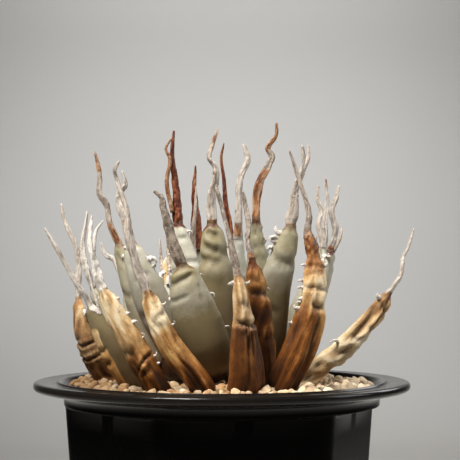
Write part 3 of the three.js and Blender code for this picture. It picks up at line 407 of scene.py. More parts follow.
class Noise:
    """Repeatable smooth value noise between -1 and 1, at two or three coordinates."""

    SIZE = 256

    def __init__(self, seed):
        self.table = np.random.RandomState(seed).uniform(-1.0, 1.0, self.SIZE * 7)
        self.order = np.random.RandomState(seed + 1).permutation(self.SIZE)

    def corner(self, x, y, z):
        order = self.order
        return self.table[order[(order[(order[x % self.SIZE] + y) % self.SIZE] + z) % self.SIZE]]

    def __call__(self, x, y, z=0.0):
        place = np.broadcast_arrays(*(np.asarray(v, float) for v in (x, y, z)))
        base = [np.floor(v).astype(int) for v in place]
        part = [v - b for v, b in zip(place, base)]
        fade = [p * p * (3 - 2 * p) for p in part]
        total = np.zeros(place[0].shape)
        for step in np.ndindex(2, 2, 2):
            weight = np.ones(total.shape)
            for far, f in zip(step, fade):
                weight = weight * (f if far else 1 - f)
            total += weight * self.corner(*(b + far for b, far in zip(base, step)))
        return total


def new_object(name, points, faces, attributes=None, smooth_shaded=True):
    """A mesh object from points in millimetres, with float attributes for its material."""
    mesh = bpy.data.meshes.new(name)
    mesh.from_pydata((np.asarray(points) * MM).tolist(), [], faces)
    for key, values in (attributes or {}).items():
        values = np.asarray(values, dtype=np.float32)
        kind, field = ("FLOAT_VECTOR", "vector") if values.ndim == 2 else ("FLOAT", "value")
        mesh.attributes.new(key, kind, "POINT").data.foreach_set(field, values.ravel())
    mesh.polygons.foreach_set("use_smooth", [smooth_shaded] * len(mesh.polygons))
    mesh.update()
    piece = bpy.data.objects.new(name, mesh)
    bpy.context.scene.collection.objects.link(piece)
    return piece


def finish_piece(piece, material, slot, *nodes):
    """Gives a piece its material, and lets it ride in place of its solids. Its slot is not used."""
    piece.data.materials.clear()
    piece.data.materials.append(material)
    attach(piece, "root")
    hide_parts(*nodes)


def tube_faces(rings, count):
    """Quads between the rings of a tube, and a fan at each end on the last two points."""
    faces = []
    first = rings * count
    top = first - count
    for i in range(count):
        j = (i + 1) % count
        faces.append((first, j, i))
        for low in range(0, top, count):
            faces.append((low + i, low + j, low + count + j, low + count + i))
        faces.append((top + i, top + j, first + 1))
    return faces


def joined(parts):
    """Several (points, faces, attributes) lots as one."""
    faces = []
    start = 0
    for points, part_faces, _ in parts:
        faces += [tuple(index + start for index in face) for face in part_faces]
        start += len(points)
    attributes = {key: np.concatenate([part[2][key] for part in parts]) for key in parts[0][2]}
    return np.vstack([part[0] for part in parts]), faces, attributes


# Core lines

def catmull_rom(points, places):
    """Points and directions on the centripetal Catmull-Rom curve through the given points."""
    points = np.asarray(points, float)
    padded = np.vstack([2 * points[0] - points[1], points, 2 * points[-1] - points[-2]])
    last = len(points) - 1
    centres = []
    tangents = []
    for place in places:
        index = min(int(place * last), last - 1)
        t = place * last - index
        p0, p1, p2, p3 = padded[index:index + 4]
        d0, d1, d2 = (math.sqrt(np.linalg.norm(b - a)) for a, b in ((p0, p1), (p1, p2), (p2, p3)))
        m1 = ((p1 - p0) / d0 - (p2 - p0) / (d0 + d1) + (p2 - p1) / d1) * d1
        m2 = ((p2 - p1) / d1 - (p3 - p1) / (d1 + d2) + (p3 - p2) / d2) * d1
        a = 2 * p1 - 2 * p2 + m1 + m2
        b = -3 * p1 + 3 * p2 - 2 * m1 - m2
        centres.append(a * t ** 3 + b * t ** 2 + m1 * t + p1)
        slope = 3 * a * t ** 2 + 2 * b * t + m1
        tangents.append(slope / np.linalg.norm(slope))
    return np.array(centres), np.array(tangents)


def frames(tangents, facing):
    """Directions across the blade and out of its back, for each place on a core line."""
    across = np.array([math.sin(facing), -math.cos(facing), 0.0])
    across = across - (tangents @ across)[:, None] * tangents
    across /= np.linalg.norm(across, axis=1)[:, None]
    return across, np.cross(tangents, across)


def core_points(row):
    """The given points of a leaf's core line, from its foot in the stem to its tip, and its facing."""
    foot_radius, foot_height, knee_radius, knee_height = RINGS[row["ring"]]
    low = row["blade"][0]
    angle = math.atan2(low[1] - ROSETTE[1], low[0] - ROSETTE[0])
    points = [on_ray(angle, foot_radius, foot_height), on_ray(angle, knee_radius, knee_height)]
    points = np.array(points + row["blade"] + row["spine"], float) + [0, 0, POT_HEIGHT]
    return points, angle if row["facing"] is None else math.radians(row["facing"])


def tube(centres, tangents, sides, sections, beyond):
    """Points and faces of sections laid on a core line, closed at its start and a bit beyond its end."""
    across, back = sides
    points = centres[:, None] + sections[..., :1] * across[:, None] + sections[..., 1:] * back[:, None]
    points = np.vstack([points.reshape(-1, 3), centres[0], centres[-1] + tangents[-1] * beyond])
    return points, tube_faces(*sections.shape[:2])


# Leaves

def blade_size(row, share):
    """A blade's half width and thickness at a share of its length."""
    half = np.maximum(along(OUTLINES[row["kind"]], share) * row["width"], row["spine_width"] * 1.15) / 2
    thickness = np.maximum(along(THICKNESS_ALONG, share) * row["thick"], row["spine_width"] * 0.8)
    return half, thickness


def fold_lines(side, share, fold, noise):
    """A sunken line between two places on a blade and the swelling beside it, both from 0 to 1."""
    from_side, from_share, to_side, to_share = fold[:4]
    width = fold[5] if len(fold) > 5 else 1.0
    bow = fold[6] if len(fold) > 6 else 0.0
    if abs(to_share - from_share) > 0.3 * abs(to_side - from_side):
        t = (share - from_share) / (to_share - from_share)
        off = side - from_side - (to_side - from_side) * t + 0.08 * noise(share * 30, 1.5)
        width *= FOLD_WIDTH_UP
    else:
        t = (side - from_side) / (to_side - from_side)
        off = share - from_share - (to_share - from_share) * t + 0.006 * noise(side * 4, 2.5)
        width *= FOLD_WIDTH_OVER
    off = off + bow * (1 - (2 * t - 1) ** 2)
    window = smooth(-0.15, 0.12, t) * (1 - smooth(0.88, 1.15, t))
    valley = np.exp(-(off / width) ** 2) * window
    ridge = np.exp(-((np.abs(off) - 2.6 * width) / (1.8 * width)) ** 2) * window
    return valley, ridge


def green_skin(row, number, share, side, noise):
    """A green blade's slight unevenness, in mm, and no creases or ridges for painted shade and painted light.
    """
    depth = 0.22 * noise(side * 1.1, share * 5.0, number * 3.1) * smooth(0.1, 0.4, share)
    depth = depth + 0.12 * noise(side * 2.2, share * 14.0, number * 1.3)
    return depth, np.zeros_like(depth), np.full_like(depth, 0.5)


def dried_skin(row, number, share, side, noise):
    """A dried blade's flutes, round above and sharp below, and sharp crumples: depth, and creases and ridges
    for painted shade and light.
    """
    low_down = 1 - smooth(0.5, 0.82, share)
    fluted = 0.3 + 0.7 * low_down
    crumpled = 1 - 0.5 * low_down
    sway = 0.5 * noise(share * 7.0, 1.3, number)
    flutes = 2.6 * np.abs(noise(side * 2.3 + sway + 5, share * 2.2, number * 3.1)) - 0.75
    flutes = np.clip(flutes, -1, 0.6) + 0.35 * noise(side * 6.5 + sway, share * 4.0, number)
    slant = side * 2.1 + share * 5.0
    crumple = 0.6 - 2.4 * np.abs(noise(side * 1.4 + 3, share * 10.0 + side, number * 2.3 + 4))
    creases = 0.5 - 2.4 * np.abs(noise(slant, share * 17.0 - side * 1.5, number * 1.7 + 9))
    dents = noise(side * 2.6, share * 24.0, number * 2.9 + 1)
    depth = 0.62 * flutes * fluted + row["rough"] * (0.5 * crumple + 0.32 * creases + 0.2 * dents) * crumpled
    sharp = np.clip(-crumple * 1.5 - 0.45, 0, 1) + np.clip(-creases * 1.2 - 0.5, 0, 1) * 0.6
    # Painted shade goes in the flutes' valleys and in the sharp crumples
    crease_shade = np.maximum(np.clip(-flutes * 2.0 - 0.35, 0, 1) * (0.15 + 0.85 * low_down),
                        sharp * min(row["rough"], 1.9) * 0.4)
    return depth, crease_shade, np.clip(0.5 + 0.45 * flutes * fluted + 0.4 * crumple * crumpled, 0, 1)


def wrinkles(row, number, share, side, back):
    """How far a blade's skin lies in or out, in mm, and its creases and ridges, from 0 to 1, which carry
    painted shade and light.
    """
    random = np.random.RandomState(number * 13 + 5)
    noise = Noise(number * 17 + 3)
    skin = dried_skin if row["kind"] in DRY_KINDS else green_skin
    depth, crease_shade, ridges = skin(row, number, share, side, noise)
    folds = list(row["folds"])
    while len(folds) < LEAST_FOLDS:
        place = random.uniform(0.6, 0.94)
        middle = random.uniform(-0.6, 0.6)
        reach = random.uniform(0.25, 0.6)
        folds.append((middle + reach, place + random.uniform(-0.02, 0.02), middle - reach, place, 0.5))
    depth = depth * np.minimum(1, np.abs(back) * 3)
    for fold in folds:
        valley, ridge = fold_lines(side, share, fold, noise)
        depth = depth + fold[4] * (0.36 * ridge - 0.9 * valley)
        # A fold's valley gets painted shade too
        crease_shade = np.maximum(crease_shade, valley * min(fold[4], 1))
    outside = smooth(-0.1, 0.3, back)
    fade = smooth(0.0, 0.3, share) * (1 - smooth(0.96, 1.0, share))
    return depth * fade * (0.5 + 0.5 * outside), crease_shade * fade * outside, ridges


def spine_section(angle, radius, twist, flat, groove):
    """A flattened, grooved and turned spine section."""
    w = np.cos(angle) * radius
    n = np.sin(angle) * radius * flat
    n = n + groove * radius * np.exp(-(np.cos(angle) / 0.45) ** 2) * (np.sin(angle) < 0)
    return np.stack([w * np.cos(twist) - n * np.sin(twist), w * np.sin(twist) + n * np.cos(twist)], axis=-1)


def blade_sections(row, number, share, angle, side):
    """The blade's sections, its end rounded into the spine, and its creases and ridges for painted shade and
    light.
    """
    half, thickness = blade_size(row, share)
    cosine, sine = np.cos(angle), np.sin(angle)
    outer = 0.68 * np.abs(sine) ** 0.92
    inner = -0.3 * np.abs(sine) ** 0.7 + 0.22 * np.exp(-(cosine / 0.5) ** 2)
    profile = np.where(sine > 0, outer, inner)
    push, crease_shade, ridge = wrinkles(row, number, share, side[None, :], profile[None, :])
    grow = 1 + push / (np.hypot(side * half, profile * thickness) + 1e-6)
    sections = np.stack([side * half * grow, profile * thickness * grow], axis=-1)
    into = smooth(0.955, 1.0, share)[..., None]
    radius = row["spine_width"] * 0.5 * (1 + row["swell"]) * np.ones_like(share)
    return sections * (1 - into) + spine_section(angle[None, :], radius, 0.0, 0.85, 0.4) * into, crease_shade, ridge


def spine_sections(row, number, share, angle, length, noise):
    """The spine's grooved, knobbly and turned sections, with painted shade between its knobs and painted
    light on its flakes.
    """
    taper = BUD_TAPER if row["kind"] == "bud" else SPINE_TAPER
    radius = np.maximum(row["spine_width"] * along(taper, share) / 2, 0.3)
    radius = radius * (1 + 0.2 * noise(share * 14, 0.5, number) * (1 - 0.5 * share))
    turn = (1.2 + noise(number * 7.3, 0.2)) * 1.8 * share
    knobs = noise(np.cos(angle) * 1.2, share * length * 0.42 + np.sin(angle) * 1.2, number + 0.5)
    flakes = noise(np.cos(angle) * 2.5, share * length * 1.1, number + np.sin(angle) * 2.5)
    radius = radius * (1 + 0.12 * np.cos(3 * angle + number) + 0.16 * knobs + 0.1 * flakes)
    radius = radius * (1 + row["swell"] * np.exp(-(share / 0.22) ** 2))
    sections = spine_section(angle[None, :], radius, turn, 0.8, 0.55 * (1 - share) ** 1.5)
    return sections, np.clip(-knobs * 1.4 - 0.35, 0, 1), np.clip(0.5 + 0.7 * flakes, 0, 1)


def leaf_looks(row, whole, side, noise):
    """What the leaf materials read. whole is 0 at a leaf's foot, 1 at its blade's end and 2 at its tip."""
    horn_start = row["horn_from"] - row["decurrent"] * np.abs(side) ** 4 + row["horn_slope"] * side
    horn_start = horn_start + 0.012 * noise(side * 4, whole * 30, 2.2)
    if row["kind"] in DRY_KINDS:
        dry = np.ones_like(whole)
    elif row["dry_from"] is None:
        dry = DRY_MARGIN * smooth(0.2, 0.9, np.abs(side)) * (1.6 + noise(whole * 9, side, 4))
    else:
        dry = smooth(-0.05, 0.12, side - row["dry_from"] + 0.15 * noise(whole * 14, side * 2, 4))
        dry = dry * (1 - smooth(0.8, 0.9, whole))
    brown = along(row["brown"], np.clip(whole - 1, 0, 1)) + 0.15 * noise(whole * 25, side * 2, 7)
    band = np.exp(-((whole - horn_start + 0.012) / 0.014) ** 2) * min(along(row["brown"], 0.0), 1.0)
    looks = {key: along(row[key], whole) for key in ("shade", "drab", "tone", "pale", "grey")}
    return dict(
        looks, horn=smooth(0.0, 0.008, whole - horn_start), band=band, brown=np.clip(brown, 0, 1),
        dry=np.clip(np.maximum(dry, 1 - smooth(0.3, 0.56, whole)), 0, 1),
        # dirt and painted shade, from the foot up
        dirt=1 - smooth(0.42, row["dirt_to"], whole),
        tip=row["tip"] * smooth(0.9, 0.97, whole + 0.015 * noise(side * 3, whole * 30, 5)))


def leaf_body(row, number):
    """Blade and spine in one skin."""
    noise = Noise(number * 31 + 11)
    points, facing = core_points(row)
    last = len(points) - 1
    blade_share = 1 - (1 - np.linspace(0, 1, BLADE_RINGS)) ** 1.15
    spine_share = np.linspace(0, 1, SPINE_RINGS + 1)[1:]
    places = np.concatenate([blade_share * BLADE_CONTROLS,
                             BLADE_CONTROLS + spine_share * (last - BLADE_CONTROLS)]) / last
    centres, tangents = catmull_rom(points, places)
    across, back = frames(tangents, facing)
    length = np.linalg.norm(centres[-1] - centres[BLADE_RINGS])

    around = row["round"] or (DRIED_ROUND if row["kind"] in DRY_KINDS else LEAF_ROUND)
    angle = np.linspace(0, 2 * math.pi, around, endpoint=False)
    side = np.sign(np.cos(angle)) * np.abs(np.cos(angle)) ** 0.95
    blade = blade_sections(row, number, blade_share[:, None], angle, side)
    spine = spine_sections(row, number, spine_share[:, None], angle, length, noise)
    sections, crease_shade, ridge = (np.concatenate(pair) for pair in zip(blade, spine))

    reach = np.concatenate([blade_share, 1 + spine_share])
    kinks = [noise(reach * length * 0.17, *at)[:, None] for at in ((3.3, number * 1.9), (8.1, number * 2.7))]
    crooked = CROOKED * smooth(0.0, 0.2, reach - 1)[:, None]
    centres = centres + crooked * (kinks[0] * across + kinks[1] * back)
    body, faces = tube(centres, tangents, (across, back), sections, 0.25)

    whole, side = np.meshgrid(reach, side, indexing="ij")
    looks = dict(leaf_looks(row, whole, side, noise), crease_shade=crease_shade, ridge=ridge)
    distance = np.concatenate([[0], np.cumsum(np.linalg.norm(np.diff(centres, axis=0), axis=1))])
    looks["place"] = np.stack([sections[..., 0], np.broadcast_to(distance[:, None], whole.shape),
                               sections[..., 1] + number * PATTERN_STEP], axis=-1)
    values = {key: np.concatenate([value.reshape(-1, *value.shape[2:]), value[[0, -1], 0]])
              for key, value in looks.items()}
    return body, faces, values


def horn_rod(points, widths, row, brown, pale, rings, count=10, facing=-math.pi / 2, number=0):
    """A thin tapering piece of horn: a spine's second point or a margin tooth."""
    places = np.linspace(0, 1, rings)
    centres, tangents = catmull_rom(points, places)
    angle = np.linspace(0, 2 * math.pi, count, endpoint=False)[None, :]
    radius = np.interp(places, np.linspace(0, 1, len(widths)), widths)[:, None] / 2
    sections = np.stack([np.cos(angle) * radius, np.sin(angle) * radius * 0.8], axis=-1)
    body, faces = tube(centres, tangents, frames(tangents, facing), sections, radius[-1] * 0.8)
    looks = dict(PLAIN_HORN, brown=brown, grey=row["grey"] * 0.5, pale=pale)
    values = {key: np.full(len(body), float(value)) for key, value in looks.items()}
    values["place"] = body + number * PATTERN_STEP
    return body, faces, values


def fork_body(row, number):
    """A forked spine's second point."""
    points = np.array(row["fork"], float) + [0, 0, POT_HEIGHT]
    widths = [row["spine_width"] * share for share in FORK_WIDTHS]
    return horn_rod(points, widths, row, row["fork_brown"], row["pale"], rings=40, count=14, number=number)


def teeth_bodies(row, number):
    """Curled white teeth on both margins, rooted in them."""
    random = np.random.RandomState(number * 7 + 2)
    points, facing = core_points(row)
    last = len(points) - 1
    size = row["teeth_size"]
    bodies = []
    for direction, count in zip((1, -1), row["teeth"]):
        for i in range(count):
            down = (TOOTH_LAST - row["teeth_from"]) * (i + random.uniform(0, 0.7)) / max(count, 3)
            share = TOOTH_LAST - down
            centre, tangent = catmull_rom(points, [share * BLADE_CONTROLS / last])
            across, back = frames(tangent, facing)
            half, _ = blade_size(row, share)
            out = across[0] * direction
            root = centre[0] + out * (half - TOOTH_ROOT)
            reach = 0.9 + random.uniform(0.3, 1.3) * size
            radius = random.uniform(0.7, 1.7) * size
            turn = random.uniform(0.4, 3.0)
            lift = random.uniform(-0.9, 0.9) * radius
            up = tangent[0] * random.choice([-1, 1])
            hook = [root, root + out * reach]
            for t in (0.35, 0.7, 1.0):
                curl = out * radius * math.sin(turn * t) + up * radius * (1 - math.cos(turn * t))
                hook.append(hook[1] + curl + back[0] * lift * t)
            wide = random.uniform(1.2, 2.3) * size
            widths = [wide, wide * 0.85, wide * 0.65, wide * 0.45, 0.3]
            bodies.append(horn_rod(hook, widths, row, random.uniform(0.0, 0.25), 0.75, rings=18,
                                   facing=facing, number=number + i))
    return bodies


def make_leaf(row, number, material):
    """A whole leaf: blade and spine, the spine's second point and the teeth."""
    forks = [fork_body(row, number)] if row["fork"] else []
    points, faces, attributes = joined([leaf_body(row, number)] + forks + teeth_bodies(row, number))
    piece = new_object("fine_" + row["name"], points, faces, attributes)
    finish_piece(piece, material, SLOTS[row["kind"]], row["name"])


# The pot

def hexagon_radius(corner_radius, step):
    """The distance from the axis to a six-sided outline with rounded corners, step radians off a corner."""
    thirty = math.radians(30)
    flat = corner_radius * math.cos(thirty)
    centre = corner_radius - CORNER_ROUNDING / math.cos(thirty)
    tangent = math.atan2(CORNER_ROUNDING / 2, centre + CORNER_ROUNDING * math.cos(thirty))
    if abs(step) >= tangent:
        return flat / math.cos(thirty - abs(step))
    reach = centre * math.sin(step)
    return centre * math.cos(step) + math.sqrt(CORNER_ROUNDING ** 2 - reach ** 2)


def pot_level(radius, height, six_sided):
    """One ring of the pot: round at six_sided 0, six-sided at 1."""
    ring = []
    for i in range(POT_DIRECTIONS):
        angle = 2 * math.pi * i / POT_DIRECTIONS
        turned = (math.degrees(angle) - FIRST_CORNER + 30) % 60 - 30
        distance = radius
        if six_sided > 0:
            distance += six_sided * (hexagon_radius(radius, math.radians(turned)) - radius)
        ring.append((distance * math.cos(angle), distance * math.sin(angle), height))
    return ring


def bend(start, control, end, steps):
    """A curved run of pot levels that starts at the first, leans to the second and ends at the third."""
    start, control, end = (np.array(level, float) for level in (start, control, end))
    shares = np.linspace(0, 1, steps)
    return [tuple((1 - t) ** 2 * start + 2 * t * (1 - t) * control + t ** 2 * end) for t in shares]


def wall(low, high, steps):
    """A straight run of pot levels between two, without its ends."""
    low, high = np.array(low, float), np.array(high, float)
    return [tuple(low + (high - low) * t) for t in np.linspace(0, 1, steps + 2)[1:-1]]


def pot_levels():
    """The pot's rings, up its outside and down its inside: radius, height and how six-sided each is."""
    top = POT_HEIGHT
    under = top - COLLAR_DEPTH
    ring, foot, body = FOOT_RING_INNER, BODY_FOOT_RADIUS, BODY_TOP_RADIUS
    collar, rim, mouth = COLLAR_RADIUS, RIM_RADIUS, MOUTH_RADIUS
    levels = [(ring - 6, FOOT_RECESS, 1)]
    # The foot ring and the six-sided body
    levels += bend((ring - 0.6, FOOT_RECESS, 1), (ring + 0.3, FOOT_RECESS, 1), (ring + 0.6, 0.8, 1), 4)
    levels += bend((ring + 0.8, 0.3, 1), (ring + 1, 0, 1), (ring + 1.8, 0, 1), 3)
    levels += bend((foot - 1.4, 0, 1), (foot - 0.1, 0, 1), (foot, 1.3, 1), 5)
    levels += wall((foot, 1.3, 1), (body - 0.2, under - 1.6, 1), 14)
    levels += bend((body - 0.2, under - 1.6, 1), (body - 0.1, under - 0.3, 0.9),
                   (collar + 0.15, under - 0.1, 0.05), 5)
    # The collar, and the rim's underside, edge and face
    levels += bend((collar + 0.2, under, 0), (collar + 0.5, under, 0), (collar + 0.5, under + 0.7, 0), 5)
    levels += bend((collar + 0.5, under + 1.2, 0), (collar + 0.6, top - 4.3, 0),
                   (rim - 5.5, top - 4.1, 0), 12)
    levels += bend((rim - 3.5, top - 3.9, 0), (rim - 0.5, top - 3.7, 0), (rim - 0.5, top - 2, 0), 8)
    levels += bend((rim - 0.5, top - 1.8, 0), (rim - 0.55, top - 0.25, 0), (rim - 2.6, top - 0.25, 0), 8)
    levels += wall((rim - 2.6, top - 0.25, 0), (mouth + 3.4, top - 0.75, 0), 4)
    # The lip round the mouth
    levels += bend((mouth + 3.2, top - 0.75, 0), (mouth + 2.4, top - 0.7, 0), (mouth + 2.1, top - 0.15, 0), 5)
    levels += bend((mouth + 2, top - 0.05, 0), (mouth + 0.4, top + 0.1, 0), (mouth - 0.1, top - 0.8, 0), 7)
    levels += wall((mouth - 0.1, top - 0.8, 0), (mouth - 1.8, top - 3.2, 0), 2)
    # The inside, down to the floor
    body -= WALL
    foot -= WALL
    levels += bend((mouth - 1.9, top - 3.5, 0), (body + 1.5, under + 4, 0.4), (body, under + 2.4, 1), 7)
    levels += wall((body, under + 2.4, 1), (foot + 0.1, FLOOR_TOP + 2, 1), 12)
    levels += bend((foot + 0.1, FLOOR_TOP + 1.5, 1), (foot, FLOOR_TOP, 1), (foot - 1.5, FLOOR_TOP, 1), 4)
    return levels


def stacked(rings, low, high):
    """Points and faces of rings one above the other, closed on the axis at two heights."""
    points = [point for ring in rings for point in ring] + [(0, 0, low), (0, 0, high)]
    return np.array(points), tube_faces(len(rings), len(rings[0]))


def cut_away(piece, cutter):
    """Cuts one object out of another and removes the cutter."""
    modifier = piece.modifiers.new("cut", "BOOLEAN")
    modifier.operation = "DIFFERENCE"
    modifier.solver = "EXACT"
    modifier.object = cutter
    depsgraph = bpy.context.evaluated_depsgraph_get()
    result = bpy.data.meshes.new_from_object(piece.evaluated_get(depsgraph))
    piece.modifiers.clear()
    piece.data = result
    bpy.data.objects.remove(cutter)


def make_pot(material):
    """The pot with its drain holes."""
    points, faces = stacked([pot_level(*level) for level in pot_levels()], FOOT_RECESS, FLOOR_TOP)
    pot = new_object("fine_pot", points, faces)
    ends = (-2.0, 2.0 * FLOOR_TOP)
    turns = np.linspace(0, 2 * math.pi, DRAIN_SIDES, endpoint=False)
    rings = [[(DRAIN_RADIUS * math.cos(a), DRAIN_RADIUS * math.sin(a), z) for a in turns] for z in ends]
    hole, hole_faces = stacked(rings, *ends)
    for i in range(DRAIN_COUNT):
        angle = 2 * math.pi * i / DRAIN_COUNT
        place = np.array([DRAIN_CIRCLE * math.cos(angle), DRAIN_CIRCLE * math.sin(angle), 0])
        cut_away(pot, new_object("drain", hole + place, hole_faces))
    pot.data.polygons.foreach_set("use_smooth", [True] * len(pot.data.polygons))
    pot.data.set_sharp_from_angle(angle=math.radians(SHARP_ANGLE))
    finish_piece(pot, material, "pot_plastic", "pot")


# Gravel and soil

def icosphere():
    """Points and triangles of an 80-sided ball."""
    mesh = bpy.data.meshes.new("ball")
    ball = bmesh.new()
    bmesh.ops.create_icosphere(ball, subdivisions=2, radius=1.0)
    ball.to_mesh(mesh)
    ball.free()
    points = np.array([v.co for v in mesh.vertices])
    faces = [tuple(p.vertices) for p in mesh.polygons]
    bpy.data.meshes.remove(mesh)
    return points, faces


def stone(random, ball):
    """An angular grain: a ball cut flat by a few random planes and stretched."""
    points = ball.copy()
    for _ in range(random.randint(9, 14)):
        normal = random.normal(size=3)
        normal /= np.linalg.norm(normal)
        reach = random.uniform(0.62, 0.9)
        over = np.maximum(points @ normal - reach, 0)
        points = points - over[:, None] * normal
    points = points * random.uniform([0.8, 0.7, 0.6], [1.25, 1.05, 0.9])
    turn = np.linalg.qr(random.normal(size=(3, 3)))[0]
    if np.linalg.det(turn) < 0:
        turn[:, 0] *= -1
    return points @ turn.T


def gravel_level(x, y):
    """The height above the rim of the gravel's surface, where stone centres lie."""
    away = math.hypot(x - ROSETTE[0], y - ROSETTE[1])
    return -SOIL_BELOW_RIM + HEAP * (1 - smooth(NEST_RADIUS * 0.6, RIM_RADIUS, away)) + 0.1


def stone_places(random):
    """Places of the stones: a shaken six-sided lattice in two layers inside the mouth."""
    places = []
    rows = int(2 * MOUTH_RADIUS / (STONE_SPACING * LATTICE_ROW)) + 2
    steps = range(-rows // 2, rows // 2 + 1)
    for layer, drop in enumerate(LAYER_DROPS):
        for row in steps:
            for column in steps:
                x = (column + 0.5 * (row % 2) + 0.33 * layer) * STONE_SPACING + random.uniform(-SHAKE, SHAKE)
                y = (row + 0.5 * layer) * STONE_SPACING * LATTICE_ROW + random.uniform(-SHAKE, SHAKE)
                if math.hypot(x, y) > MOUTH_RADIUS - STONE_CLEARANCE:
                    continue
                lift = random.uniform(-STONE_LIFT, STONE_LIFT)
                if layer and random.uniform() < LEFT_OUT_BELOW:
                    continue
                places.append((x, y, gravel_level(x, y) - drop + lift))
    return places


def make_gravel(material):
    """The separate stones, and the soil below them, as deep as the pot's inside."""
    random = np.random.RandomState(42)
    ball, ball_faces = icosphere()
    parts = []
    for x, y, z in stone_places(random):
        size = random.choice(STONE_RADII, p=STONE_SHARES)
        grain = stone(random, ball) * size + [x, y, z + POT_HEIGHT]
        tint = random.choice(STONE_TINTS) + random.uniform(-0.06, 0.06)
        parts.append((grain, ball_faces, {"tint": np.full(len(grain), tint)}))
    floor = FLOOR_TOP + SOIL_GAP
    foot = BODY_FOOT_RADIUS - WALL
    inside = [(foot - 1.6, floor, 1), (foot - SOIL_GAP, floor + 1.5, 1),
              (BODY_TOP_RADIUS - WALL - SOIL_GAP, POT_HEIGHT - COLLAR_DEPTH + 1.8, 1),
              (MOUTH_RADIUS - 2.4, POT_HEIGHT - 5.2, 0), (MOUTH_RADIUS - 4, POT_HEIGHT - 5.2, 0)]
    points, faces = stacked([pot_level(*level) for level in inside], floor, POT_HEIGHT - 4.4)
    parts.append((points, faces, {"tint": np.full(len(points), SOIL_TINT)}))
    gravel = new_object("fine_gravel", *joined(parts), smooth_shaded=False)
    finish_piece(gravel, material, "gravel", "soil")


# Materials

def colour(red, green, blue):
    """A colour given as eight-bit screen values, for a shader."""
    shades = (value / 255 for value in (red, green, blue))
    return (*(v / 12.92 if v <= 0.04045 else ((v + 0.055) / 1.055) ** 2.4 for v in shades), 1.0)


class Finish:
    """A procedural material and short ways to add nodes to it. A shade is eight-bit red, green and blue."""

    def __init__(self, name):
        self.material = bpy.data.materials.new(name)
        self.material.use_nodes = True
        self.tree = self.material.node_tree
        self.shader = self.tree.nodes["Principled BSDF"]

    def set(self, socket, value):
        """Links a socket or sets its value."""
        if isinstance(value, bpy.types.NodeSocket):
            self.tree.links.new(value, socket)
        else:
            socket.default_value = value

    def add(self, kind, values=(), **settings):
        node = self.tree.nodes.new(kind)
        for key, value in settings.items():
            setattr(node, key, value)
        for key, value in dict(values).items():
            self.set(node.inputs[key], value)
        return node

    def surface(self, **values):
        for key, value in values.items():
            self.set(self.shader.inputs[key.replace("_", " ")], value)

    def attribute(self, name, output="Fac"):
        return self.add("ShaderNodeAttribute", attribute_name=name).outputs[output]

    def position(self):
        return self.add("ShaderNodeTexCoord").outputs["Object"]

    def part(self, vector, axis):
        return self.add("ShaderNodeSeparateXYZ", {"Vector": vector}).outputs[axis]

    def stretch(self, vector, *scale):
        return self.add("ShaderNodeMapping", {"Vector": vector, "Scale": scale}).outputs["Vector"]

    def noise(self, vector, scale, detail, rough=0.55, warp=0.0):
        return self.add("ShaderNodeTexNoise", {"Vector": vector, "Scale": scale, "Detail": detail,
                                               "Roughness": rough, "Distortion": warp}).outputs["Fac"]

    def math(self, operation, a, b, c=0.0, clamp=False):
        return self.add("ShaderNodeMath", {0: a, 1: b, 2: c}, operation=operation, use_clamp=clamp).outputs[0]

    def sum(self, *parts):
        """The sum of (value, weight) parts."""
        total = 0.0
        for value, weight in parts:
            total = self.math("MULTIPLY_ADD", value, weight, total)
        return total

    def ramp(self, value, *stops):
        """A ramp of (place, grey) or (place, red, green, blue) stops."""
        node = self.add("ShaderNodeValToRGB", {"Fac": value})
        elements = node.color_ramp.elements
        while len(elements) < len(stops):
            elements.new(0.5)
        for element, (place, *shade) in zip(elements, stops):
            element.position = place
            element.color = colour(*shade) if len(shade) == 3 else (*shade * 3, 1.0)
        return node.outputs["Color"]

    def rise(self, value, low, high):
        return self.ramp(value, (low, 0), (high, 1))

    def mix(self, share, a, b):
        node = self.add("ShaderNodeMix", data_type="RGBA")
        sockets = {socket.identifier: socket for socket in (*node.inputs, *node.outputs)}
        for key, value in (("Factor_Float", share), ("A_Color", a), ("B_Color", b)):
            self.set(sockets[key], value)
        return sockets["Result_Color"]

    def stain(self, under, share, strength, *shade):
        """A shade laid over a colour where a share says so."""
        return self.mix(self.math("MULTIPLY", share, strength), under, colour(*shade))

    def bump(self, height, strength, distance):
        values = {"Height": height, "Strength": strength, "Distance": distance}
        self.surface(Normal=self.add("ShaderNodeBump", values).outputs["Normal"])


